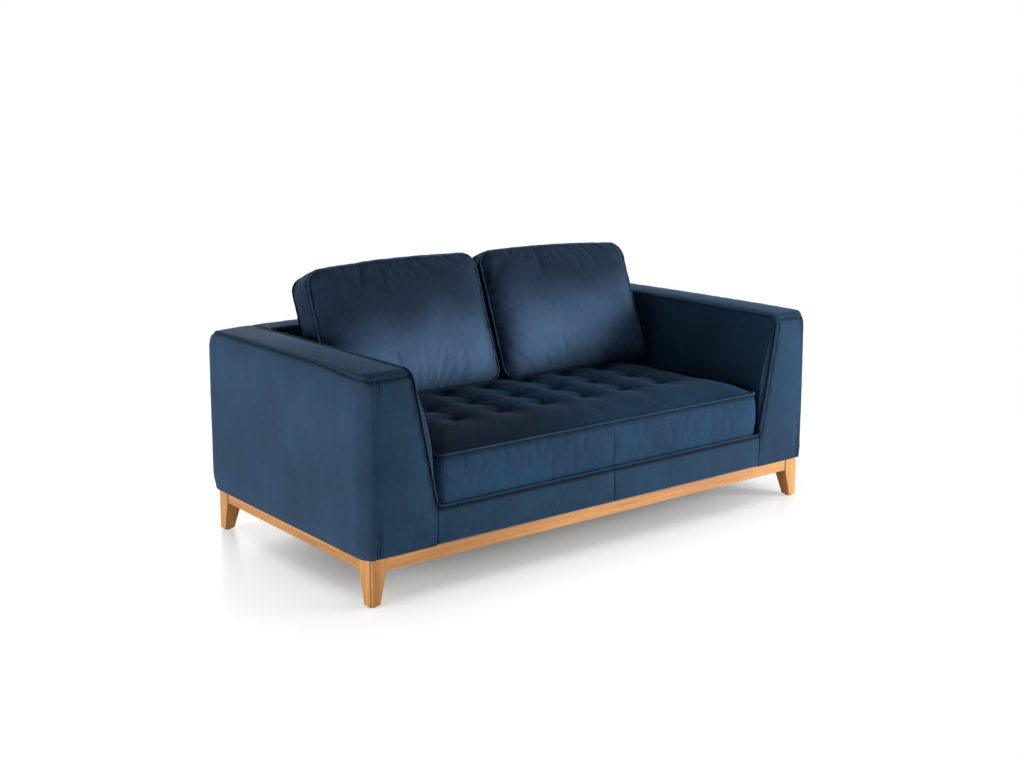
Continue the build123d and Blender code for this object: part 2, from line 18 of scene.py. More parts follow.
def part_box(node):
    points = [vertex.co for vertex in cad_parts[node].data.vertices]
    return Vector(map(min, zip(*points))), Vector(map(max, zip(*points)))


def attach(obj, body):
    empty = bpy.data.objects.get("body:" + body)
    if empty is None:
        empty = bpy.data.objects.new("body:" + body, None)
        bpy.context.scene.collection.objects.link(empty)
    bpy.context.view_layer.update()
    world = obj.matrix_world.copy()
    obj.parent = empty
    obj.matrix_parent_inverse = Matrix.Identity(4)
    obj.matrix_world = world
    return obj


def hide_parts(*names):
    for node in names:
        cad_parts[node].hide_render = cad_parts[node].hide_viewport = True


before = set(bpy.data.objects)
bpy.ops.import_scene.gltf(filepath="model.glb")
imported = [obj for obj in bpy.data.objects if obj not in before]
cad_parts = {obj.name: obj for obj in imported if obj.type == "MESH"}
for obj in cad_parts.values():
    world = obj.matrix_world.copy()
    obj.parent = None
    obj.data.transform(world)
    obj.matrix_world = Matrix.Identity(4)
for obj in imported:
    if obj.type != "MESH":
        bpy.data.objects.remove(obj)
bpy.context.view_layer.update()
LOG = logging.getLogger("sofa")
CLOSE, NEAR, WELD = 1e-4, 1e-3, 1e-5

Colour = Tuple[float, float, float, float]
Number = Union[float, "Wire"]


# ---------------------------------------------------------------------------
# Materials
# ---------------------------------------------------------------------------


class Wire:
    """An output socket of a material that takes part in Python sums."""

    def __init__(self, sheet: "NodeSheet", socket: bpy.types.NodeSocket) -> None:
        """Keeps the socket and the node sheet that it belongs to."""
        self.sheet = sheet
        self.socket = socket

    def math(self, operation: str, first: Number, second: Number = 0.0) -> "Wire":
        """Adds one Math node.

        Args:
            operation: the Math node's operation.
            first: the first number or wire.
            second: the second number or wire.

        Returns:
            The node's output.
        """
        return self.sheet.add("ShaderNodeMath", {"operation": operation}, {0: first, 1: second})

    def __add__(self, other: Number) -> "Wire":
        """Sum."""
        return self.math("ADD", self, other)

    def __radd__(self, other: Number) -> "Wire":
        """Sum with a number on the left."""
        return self.math("ADD", other, self)

    def __sub__(self, other: Number) -> "Wire":
        """Difference."""
        return self.math("SUBTRACT", self, other)

    def __rsub__(self, other: Number) -> "Wire":
        """Difference with a number on the left."""
        return self.math("SUBTRACT", other, self)

    def __mul__(self, other: Number) -> "Wire":
        """Product."""
        return self.math("MULTIPLY", self, other)

    def smooth(self, low: float, high: float) -> "Wire":
        """Runs smoothly from 0 at low to 1 at high."""
        return self.sheet.add(
            "ShaderNodeMapRange",
            {"interpolation_type": "SMOOTHSTEP"},
            {"Value": self, "From Min": low, "From Max": high},
        )


class NodeSheet:
    """The node tree of one material or of the world."""

    def __init__(self, tree: bpy.types.NodeTree) -> None:
        """Empties the tree."""
        self.tree = tree
        tree.nodes.clear()

    def add(
        self,
        kind: str,
        settings: Optional[Dict[str, object]] = None,
        inputs: Optional[Dict[Union[int, str], object]] = None,
        output: Union[int, str] = 0,
    ) -> Wire:
        """Adds a node, sets it up and connects its sockets.

        Args:
            kind: the node's type name.
            settings: the node's own settings.
            inputs: values or wires for its sockets, by name or number.
            output: the output that is returned.

        Returns:
            The chosen output.
        """
        node = self.tree.nodes.new(kind)
        for key, value in (settings or {}).items():
            setattr(node, key, value)
        for key, value in (inputs or {}).items():
            if isinstance(value, Wire):
                self.tree.links.new(value.socket, node.inputs[key])
            else:
                node.inputs[key].default_value = value
        return Wire(self, node.outputs[output]) if len(node.outputs) else None

    def place(self) -> Wire:
        """Place on the object, in metres."""
        return self.add("ShaderNodeTexCoord", output="Object")

    def stretched(self, place: Wire, scale: Sequence[float], turn: Sequence[float] = (0, 0, 0)) -> Wire:
        """Scales and turns a place.

        Args:
            place: the place on the object.
            scale: factors along X, Y and Z.
            turn: angles about X, Y and Z.

        Returns:
            The mapped place.
        """
        return self.add("ShaderNodeMapping", None, {"Vector": place, "Scale": scale, "Rotation": turn})

    def noise(self, place: Wire, scale: float, detail: float = 3.0, rough: float = 0.5) -> Wire:
        """Cloudy noise from 0 to 1 at a place."""
        inputs = {"Vector": place, "Scale": scale, "Detail": detail, "Roughness": rough}
        return self.add("ShaderNodeTexNoise", None, inputs)

    def mix(self, factor: Number, first: object, second: object) -> Wire:
        """Mixes two colours."""
        return self.add("ShaderNodeMix", {"data_type": "RGBA"}, {0: factor, 6: first, 7: second}, 2)

    def bump(self, height: Wire, strength: float, distance: float) -> Wire:
        """Turns a height in metres into a normal."""
        inputs = {"Height": height, "Strength": strength, "Distance": distance}
        return self.add("ShaderNodeBump", None, inputs)


@dataclass(frozen=True)
class Finish:
    """A finish that makes its material once and hands it out by name."""

    name: str
    slot: str

    def material(self) -> bpy.types.Material:
        """The finish's material, made on first use."""
        found = bpy.data.materials.get(self.name)
        if found is None:
            found = bpy.data.materials.new(self.name)
            found.use_nodes = True
            sheet = NodeSheet(found.node_tree)
            shader = sheet.add("ShaderNodeBsdfPrincipled", None, self.sockets(sheet))
            sheet.add("ShaderNodeOutputMaterial", None, {"Surface": shader})
        return found

    def sockets(self, sheet: NodeSheet) -> Dict[str, object]:
        """Values and wires of the shader's sockets."""
        raise NotImplementedError

    def dress(self, piece: bpy.types.Object) -> None:
        """Puts the finish on a piece."""
        piece.data.materials.clear()
        piece.data.materials.append(self.material())


@dataclass(frozen=True)
class Velvet(Finish):
    """Short-pile velvet with a brushed tone, faint streaks, a soft sheen, painted highlights and painted
    shade.
    """

    dark: Colour = (0.0058, 0.0168, 0.033, 1.0)
    light: Colour = (0.0155, 0.0455, 0.089, 1.0)
    # The lighter colour that the painted highlight mixes in.
    painted_highlight_colour: Colour = (0.068, 0.142, 0.270, 1.0)
    # The dark colour that the painted shade mixes in.
    painted_shade: Colour = (0.0012, 0.0030, 0.0070, 1.0)
    sheen: float = 0.23
    pile: float = 1400.0

    def sockets(self, sheet: NodeSheet) -> Dict[str, object]:
        """Values and wires of the velvet.

        Args:
            sheet: the material's node sheet.

        Returns:
            The shader's sockets.
        """
        place = sheet.place()
        streaks = sheet.noise(sheet.stretched(place, (70.0, 70.0, 7.0)), 1.0, 4.0, 0.6)
        threads = sheet.noise(sheet.stretched(place, (520.0, 520.0, 40.0)), 1.0, 2.0)
        clouds = sheet.noise(place, 4.5, 4.0, 0.55)
        pile = sheet.noise(place, self.pile, 1.0)
        # Painted highlight: a point attribute says how far the colour is lifted towards the highlight colour.
        highlight_amount = sheet.add("ShaderNodeAttribute", {"attribute_name": "painted_highlight"}, output="Fac")
        # Painted shade: a point attribute darkens seams, the shaded side of cords, tuft pinches and the
        # seat's left end.
        seam = sheet.add("ShaderNodeAttribute", {"attribute_name": "seam"}, output="Fac")
        brushed = streaks * 0.16 + clouds * 0.48 + threads * 0.24 + pile * 0.12
        tone = brushed.smooth(0.22, 0.78)
        highlight_mix = highlight_amount * (0.50 + clouds * 0.55 + (threads - 0.5) * 0.35 + (streaks - 0.5) * 0.25)
        rough = 0.62 + brushed * 0.22 + pile * 0.06
        height = pile * 0.0006 + threads * 0.0004 + streaks * 0.0003
        cloth = sheet.mix(highlight_mix, sheet.mix(tone, self.dark, self.light), self.painted_highlight_colour)
        return {
            "Base Color": sheet.mix(seam * 0.95, cloth, self.painted_shade),
            "Roughness": rough,
            "Specular IOR Level": 0.06,
            "Sheen Weight": self.sheen,
            "Sheen Roughness": 0.38,
            "Sheen Tint": (0.28, 0.48, 0.80, 1.0),
            "Normal": sheet.bump(height, 0.55, 1.0),
        }


class Grain(Enum):
    """The way that the grain runs along a wooden piece, as an angle that turns it onto X."""

    ALONG_X = (0.0, 0.0, 0.0)
    ALONG_Y = (0.0, 0.0, math.pi / 2)
    ALONG_Z = (0.0, math.pi / 2, 0.0)


@dataclass(frozen=True)
class SatinWood(Finish):
    """Honey-coloured wood with growth rings, pores and a satin lacquer.

    The mitre values place the dark line of the joint at the outer corner of a leg.
    """

    grain: Grain = Grain.ALONG_X
    pale: Colour = (0.50, 0.230, 0.058, 1.0)
    deep: Colour = (0.285, 0.115, 0.026, 1.0)
    pore: Colour = (0.12, 0.044, 0.012, 1.0)
    mitre: Tuple[float, float] = (0.8786, 0.4489)
    mitre_y: float = 0.00225
    mitre_width: float = 0.0014

    def sockets(self, sheet: NodeSheet) -> Dict[str, object]:
        """Values and wires of the wood.

        Args:
            sheet: the material's node sheet.

        Returns:
            The shader's sockets.
        """
        place = sheet.stretched(sheet.place(), (1.0, 1.0, 1.0), self.grain.value)
        figure = sheet.noise(sheet.stretched(place, (1.6, 26.0, 26.0)), 1.0, 4.0, 0.6)
        rings = sheet.noise(sheet.stretched(place, (3.0, 130.0, 130.0)), 1.0, 3.0, 0.55)
        pores = sheet.noise(sheet.stretched(place, (24.0, 900.0, 900.0)), 1.0, 2.0, 0.5)
        tone = (figure * 0.6 + rings * 0.4).smooth(0.34, 0.68)
        pits = pores.smooth(0.62, 0.74)
        body = sheet.mix(tone, self.pale, self.deep)
        right = sheet.add("ShaderNodeSeparateXYZ", None, {"Vector": sheet.place()}, "X")
        ahead = sheet.add("ShaderNodeSeparateXYZ", None, {"Vector": sheet.place()}, "Y") - self.mitre_y
        side, end = right.math("ABSOLUTE", right), ahead.math("ABSOLUTE", ahead)
        edge_x, edge_y = self.mitre
        joint = side.smooth(edge_x, edge_x + self.mitre_width) * end.smooth(edge_y, edge_y + self.mitre_width)
        shaded = sheet.mix(joint * 0.6, body, self.pore)
        return {
            "Base Color": sheet.mix(pits * 0.45, shaded, self.pore),
            "Roughness": 0.36 + rings * 0.14 + pits * 0.12,
            "Specular IOR Level": 0.30,
            "Coat Weight": 0.06,
            "Coat Roughness": 0.22,
            "Normal": sheet.bump(rings * 0.00012 - pits * 0.00018, 0.6, 1.0),
        }


@dataclass(frozen=True)
class PlainStuff(Finish):
    """A hidden or small piece: two close tones, a fine grain and a roughness."""

    first: Colour = (0.5, 0.5, 0.5, 1.0)
    second: Colour = (0.4, 0.4, 0.4, 1.0)
    scale: float = 300.0
    roughness: float = 0.6
    metal: float = 0.0
    relief: float = 0.0003

    def sockets(self, sheet: NodeSheet) -> Dict[str, object]:
        """Values and wires of the plain stuff.

        Args:
            sheet: the material's node sheet.

        Returns:
            The shader's sockets.
        """
        grain = sheet.noise(sheet.place(), self.scale, 3.0)
        return {
            "Base Color": sheet.mix(grain.smooth(0.3, 0.7), self.first, self.second),
            "Roughness": self.roughness + (grain - 0.5) * 0.2,
            "Metallic": self.metal,
            "Normal": sheet.bump(grain * self.relief, 0.5, 1.0),
        }


VELVET = Velvet("navy_velvet", "velvet", painted_highlight_colour=(0.16, 0.20, 0.32, 1.0))
# Seat copy of the velvet: a little lighter and bluer than the tub's, painting in part of the sheen that its
# lower sheen weight leaves out.
SEAT_VELVET = Velvet(
    "navy_velvet_seat", "velvet",
    dark=(0.0058, 0.0176, 0.037, 1.0), light=(0.0158, 0.0490, 0.100, 1.0), sheen=0.11,
)
# Back cushion copy of the velvet: darker and greyer than the tub's, painting the shade on the cushions' upper
# fronts; its highlight colour is the painted highlight on their lower middle.
BACK_VELVET = Velvet(
    "navy_velvet_back", "velvet", dark=(0.0078, 0.0140, 0.026, 1.0), light=(0.0185, 0.0360, 0.070, 1.0),
    painted_highlight_colour=(0.078, 0.146, 0.262, 1.0), sheen=0.18,
)
# Cord copy of the velvet: much lighter than the tub's, painting the highlight that the cords catch; their
# shaded side is painted through the seam attribute.
CORD_VELVET = Velvet(
    "navy_velvet_cord", "velvet_cord",
    dark=(0.018, 0.046, 0.094, 1.0), light=(0.042, 0.104, 0.195, 1.0), sheen=0.12,
)
WOOD = {way: SatinWood(f"honey_wood_{way.name.lower()}", "leg_wood", way) for way in Grain}
FRAME_WOOD = PlainStuff(
    "frame_softwood", "frame_wood", (0.55, 0.40, 0.24, 1.0), (0.46, 0.32, 0.18, 1.0), 60.0, 0.7
)
FILLING = PlainStuff(
    "white_fibre", "filling", (0.78, 0.77, 0.74, 1.0), (0.70, 0.69, 0.66, 1.0), 180.0, 0.95
)
WEBBING = PlainStuff(
    "strap_webbing", "strap_web", (0.10, 0.09, 0.08, 1.0), (0.06, 0.055, 0.05, 1.0), 500.0, 0.85
)
DUST_CLOTH = PlainStuff(
    "black_dust_cloth", "dust_cloth", (0.016, 0.016, 0.017, 1.0), (0.010, 0.010, 0.011, 1.0), 700.0, 0.9
)
STEEL = PlainStuff(
    "plated_steel", "steel", (0.58, 0.58, 0.57, 1.0), (0.50, 0.50, 0.50, 1.0), 240.0, 0.35, 1.0, 0.0001
)
GLIDE = PlainStuff(
    "grey_glide", "glide_plastic", (0.10, 0.10, 0.10, 1.0), (0.07, 0.07, 0.07, 1.0), 350.0, 0.5
)
THREAD = PlainStuff(
    "navy_thread", "thread", (0.010, 0.022, 0.045, 1.0), (0.006, 0.014, 0.030, 1.0), 900.0, 0.7
)


# ---------------------------------------------------------------------------
# Shaping tools
# ---------------------------------------------------------------------------


def ease(value: float) -> float:
    """Smooth step from 0 to 1 of a value that is first held between 0 and 1."""
    held = min(max(value, 0.0), 1.0)
    return held * held * (3.0 - 2.0 * held)


def steps(low: float, high: float, pitch: float) -> List[float]:
    """Evenly spaced places strictly between two ends.

    Args:
        low: lower end.
        high: upper end.
        pitch: the largest spacing.

    Returns:
        The places, without the ends.
    """
    count = max(1, math.ceil((high - low) / pitch))
    return [low + (high - low) * index / count for index in range(1, count)]


@dataclass(frozen=True)
class SeamLine:
    """A straight sewn seam between two points."""

    start: Vector
    end: Vector

    @classmethod
    def between(cls, start: Sequence[float], end: Sequence[float]) -> "SeamLine":
        """A seam from one place to another."""
        return cls(Vector(start), Vector(end))

    def measure(self, point: Vector) -> Tuple[float, float]:
        """Finds how far a point is from the seam.

        Args:
            point: a point on the cover.

        Returns:
            The distance from the seam and the place along it.
        """
        run = self.end - self.start
        share = min(max((point - self.start).dot(run) / run.length_squared, 0.0), 1.0)
        return (point - self.start - run * share).length, share * run.length


class Form:
    """A mesh in the making."""

    def __init__(self) -> None:
        """Starts an empty mesh."""
        self.mesh = bmesh.new()

    @classmethod
    def block(cls, low: Sequence[float], high: Sequence[float]) -> "Form":
        """Starts from a block.

        Args:
            low: lowest corner.
            high: highest corner.

        Returns:
            The form.
        """
        form = cls()
        first, last = Vector(low), Vector(high)
        size = Matrix.Diagonal((last - first).to_4d())
        size[3][3] = 1.0
        bmesh.ops.create_cube(form.mesh, size=1.0, matrix=Matrix.Translation((first + last) / 2) @ size)
        return form

    def cut(self, axis: int, places: Iterable[float]) -> None:
        """Cuts the surface along planes square to an axis.

        Args:
            axis: 0 for X, 1 for Y or 2 for Z.
            places: where the planes stand.
        """
        normal = Vector([float(index == axis) for index in range(3)])
        for place in places:
            everything = self.mesh.verts[:] + self.mesh.edges[:] + self.mesh.faces[:]
            bmesh.ops.bisect_plane(
                self.mesh, geom=everything, dist=WELD, plane_co=normal * place, plane_no=normal
            )

    def round_edges(self, chosen: Callable[[Vector, Vector], bool], radius: float, segments: int) -> None:
        """Rounds the edges that a test picks.

        Args:
            chosen: takes an edge's middle and direction, and says whether it is rounded.
            radius: the radius.
            segments: the number of steps round the curve.
        """
        edges = []
        for edge in self.mesh.edges:
            first, last = edge.verts[0].co, edge.verts[1].co
            if chosen((first + last) / 2, (last - first).normalized()):
                edges.append(edge)
        bmesh.ops.bevel(
            self.mesh, geom=edges, offset=radius, offset_type="OFFSET", affect="EDGES",
            segments=segments, profile=0.5, material=-1, clamp_overlap=True,
        )

    def put_in_order(self) -> None:
        """Rebuilds the mesh with its points and faces in a fixed order, the same in each run."""
        places = sorted((tuple(round(part, 6) for part in vert.co), vert.index) for vert in self.mesh.verts)
        rank = {index: number for number, (_, index) in enumerate(places)}
        rings = []
        for face in self.mesh.faces:
            ring = [rank[vert.index] for vert in face.verts]
            start = ring.index(min(ring))
            rings.append(ring[start:] + ring[:start])
        self.mesh.free()
        self.mesh = bmesh.new()
        points = [self.mesh.verts.new(place) for place, _ in places]
        for ring in sorted(rings):
            self.mesh.faces.new([points[number] for number in ring])
        self.mesh.verts.index_update()
        self.mesh.normal_update()

    def shape(self, move: Callable[[Vector], Vector]) -> None:
        """Moves every point by a function of its place."""
        for vert in self.mesh.verts:
            vert.co = move(vert.co.copy())

    def press(self, push: Callable[[Vector, Vector], float]) -> None:
        """Moves every point along its normal by a function of its place and normal."""
        self.mesh.normal_update()
        for vert, offset in [(vert, push(vert.co, vert.normal)) for vert in self.mesh.verts]:
            vert.co += vert.normal * offset

    def mark(self, name: str, measure: Callable[[Vector], float]) -> None:
        """Keeps a number at every point, as an attribute that a finish reads.

        Args:
            name: the attribute's name.
            measure: gives the number at a place.
        """
        layer = self.mesh.verts.layers.float.new(name)
        for vert in self.mesh.verts:
            vert[layer] = measure(vert.co)

    def piece(self, name: str, levels: int = 0) -> bpy.types.Object:
        """Turns the form into an object at the origin.

        Args:
            name: the piece's name.
            levels: levels of a Subdivision Surface modifier.

        Returns:
            The object.
        """
        bmesh.ops.recalc_face_normals(self.mesh, faces=self.mesh.faces[:])
        data = bpy.data.meshes.new(name)
        self.mesh.to_mesh(data)
        self.mesh.free()
        data.polygons.foreach_set("use_smooth", [True] * len(data.polygons))
        made = bpy.data.objects.new(name, data)
        bpy.context.scene.collection.objects.link(made)
        if levels:
            soften = made.modifiers.new("soften", "SUBSURF")
            soften.levels = soften.render_levels = levels
        return made


@dataclass(frozen=True)
class Stitch:
    """Depth and half width of a seam's groove, height and reach of the puckers beside it."""

    depth: float
    width: float
    gather: float
    reach: float


CAP_STITCH = Stitch(0.0046, 0.0046, 0.0020, 0.026)
FELL_STITCH = Stitch(0.0022, 0.0034, 0.0012, 0.020)
BACK_STITCH = Stitch(0.0050, 0.0048, 0.0022, 0.026)
BORDER_STITCH = Stitch(0.0030, 0.0040, 0.0016, 0.025)


def along_x(test: Callable[[Vector], bool]) -> Callable[[Vector, Vector], bool]:
    """Makes a test for edges that run across the sofa and whose middle passes another test."""
    return lambda middle, way: abs(way.x) > 0.9 and test(middle)


def sewn(seams: Sequence[SeamLine], stitch: Stitch, seed: float) -> Callable[[Vector, Vector], float]:
    """Makes a function that sinks a cover along its seams and gathers it beside them.

    Args:
        seams: the seams.
        stitch: how the seams pull the cover.
        seed: shifts the noise.

    Returns:
        A function of place and normal that gives the offset along the normal.
    """

    def push(point: Vector, normal: Vector) -> float:
        """Offset of one point."""
        offset = 0.0
        for number, seam in enumerate(seams):
            away, along = seam.measure(point)
            offset -= stitch.depth * math.exp(-((away / stitch.width) ** 2))
            if away < stitch.reach * 3.0:
                ripple = noise.noise(Vector((along * 42.0, away * 6.0, seed + number * 7.3)))
                fade = math.exp(-away / stitch.reach)
                offset += stitch.gather * ripple * fade * ease(away / stitch.width / 2.0)
        return offset

    return push


def painted_shade(seams: Sequence[SeamLine], width: float, firm: int = 2) -> Callable[[Vector], float]:
    """Makes a function that says how much shade is painted at a place: 1 on a seam, 0 away from it.

    Args:
        seams: the seams.
        width: half the width of the painted shade.
        firm: how sharply the painted shade ends.

    Returns:
        The function of a place.
    """
    return lambda point: max(math.exp(-((seam.measure(point)[0] / width) ** firm)) for seam in seams)


@dataclass(frozen=True)
class Swelling:
    """How a cover is filled: pressure of the filling, spare cloth and the most that a point may move."""

    pressure: float = 4.0
    spare: float = 0.02
    cap: float = 0.026
    bending: float = 0.4
    frames: int = 20
    quality: int = 5
    mass: float = 0.25
    stretch: float = 12.0
    shear: float = 6.0


def swell(covers: Sequence[bpy.types.Object], fillings: Sequence[Swelling]) -> None:
    """Fills sewn covers by a cloth simulation and keeps the result in their meshes.

    Args:
        covers: the covers, each with a vertex group "sewn" that holds its seams.
        fillings: how each cover is filled.
    """
    scene = bpy.context.scene
    for cover, how in zip(covers, fillings):
        cloth = cover.modifiers.new("filling", "CLOTH")
        cloth.settings.quality = how.quality
        cloth.settings.mass = how.mass
        cloth.settings.tension_stiffness = cloth.settings.compression_stiffness = how.stretch
        cloth.settings.shear_stiffness = how.shear
        cloth.settings.bending_stiffness = how.bending
        cloth.settings.shrink_min = -how.spare
        cloth.settings.use_pressure = True
        cloth.settings.uniform_pressure_force = how.pressure
        cloth.settings.effector_weights.gravity = 0.0
        cloth.settings.vertex_group_mass = "sewn"
        cloth.collision_settings.use_collision = False
        cloth.point_cache.frame_start, cloth.point_cache.frame_end = 1, how.frames
    for number in range(1, max(how.frames for how in fillings) + 1):
        scene.frame_set(number)
    graph = bpy.context.evaluated_depsgraph_get()
    for cover, how in zip(covers, fillings):
        filled = cover.evaluated_get(graph).data
        moved = [vert.co.copy() for vert in filled.vertices]
        cover.modifiers.remove(cover.modifiers["filling"])
        for vert, place in zip(cover.data.vertices, moved):
            step = place - vert.co
            if step.length > 1e-7:
                vert.co += step * (how.cap * math.tanh(step.length / how.cap) / step.length)
        LOG.info("filled %s", cover.name)
    scene.frame_set(1)


@dataclass
class Piping:
    """A covered cord sewn into a closed seam; shade says how much shade is painted on it at a place and
    normal.
    """

    name: str
    body: str
    node: str
    points: List[Vector]
    shade: Callable[[Vector, Vector], float]
    radius: float = 0.0046
    waver: float = 0.0012

    @staticmethod
    def rounded(corners: Sequence[Vector], radii: Sequence[float], pitch: float = 0.009) -> List[Vector]:
        """Rounds the corners of a closed path and spaces points along it.

        Args:
            corners: the corners in order.
            radii: the radius at each corner.
            pitch: the spacing of the points.

        Returns:
            Points along the rounded path.
        """
        arcs = []
        for index, (corner, radius) in enumerate(zip(corners, radii)):
            inward = (corner - corners[index - 1]).normalized()
            outward = (corners[(index + 1) % len(corners)] - corner).normalized()
            turn = inward.angle(outward)
            reach, pull = radius * math.tan(turn / 2), radius * 4 / 3 * math.tan(turn / 4)
            first, last = corner - inward * reach, corner + outward * reach
            count = max(4, int(radius * turn / pitch) + 2)
            arcs.append(interpolate(first, first + inward * pull, last - outward * pull, last, count))
        points: List[Vector] = []
        for index, arc in enumerate(arcs):
            following = arcs[(index + 1) % len(arcs)][0]
            run = following - arc[-1]
            count = max(1, int(run.length / pitch))
            points += arc + [arc[-1] + run * step / count for step in range(1, count)]
        return points

    def build(self) -> bpy.types.Object:
        """Makes the cord as a round tube and dresses it.

        Returns:
            The cord.
        """
        curve = bpy.data.curves.new(self.name, "CURVE")
        curve.dimensions = "3D"
        curve.bevel_depth, curve.bevel_resolution = self.radius, 2
        spline = curve.splines.new("POLY")
        spline.use_cyclic_u = True
        spline.points.add(len(self.points) - 1)
        for spot, point in zip(spline.points, self.points):
            slow, quick = noise.noise_vector(point * 19.0), noise.noise_vector(point * 55.0)
            sway = slow * self.waver * 0.6 + quick * self.waver * 0.4
            spot.co = (point + sway).to_4d()
        draft = bpy.data.objects.new(self.name, curve)
        bpy.context.scene.collection.objects.link(draft)
        bpy.context.view_layer.update()
        data = bpy.data.meshes.new_from_object(draft.evaluated_get(bpy.context.evaluated_depsgraph_get()))
        bpy.data.objects.remove(draft)
        form = Form()
        form.mesh.from_mesh(data)
        bmesh.ops.remove_doubles(form.mesh, verts=form.mesh.verts[:], dist=1e-6)
        form.mesh.normal_update()
        # Painted shade on the side of the cord that faces into the crease, kept in the attribute seam.
        dark = [self.shade(vert.co, vert.normal) for vert in form.mesh.verts]
        made = form.piece(self.name)
        made.data.attributes.new("seam", "FLOAT", "POINT").data.foreach_set("value", dark)
        CORD_VELVET.dress(made)
        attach(made, self.body)
        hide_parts(self.node)
        LOG.info("sewed in %s", self.name)
        return made


def interpolate(first: Vector, second: Vector, third: Vector, last: Vector, count: int) -> List[Vector]:
    """Points along a Bezier curve, with both ends."""
    points = []
    for index in range(count):
        t = index / (count - 1)
        rest = 1 - t
        start = first * rest**3 + second * (3 * t * rest**2)
        points.append(start + third * (3 * t * t * rest) + last * t**3)
    return points


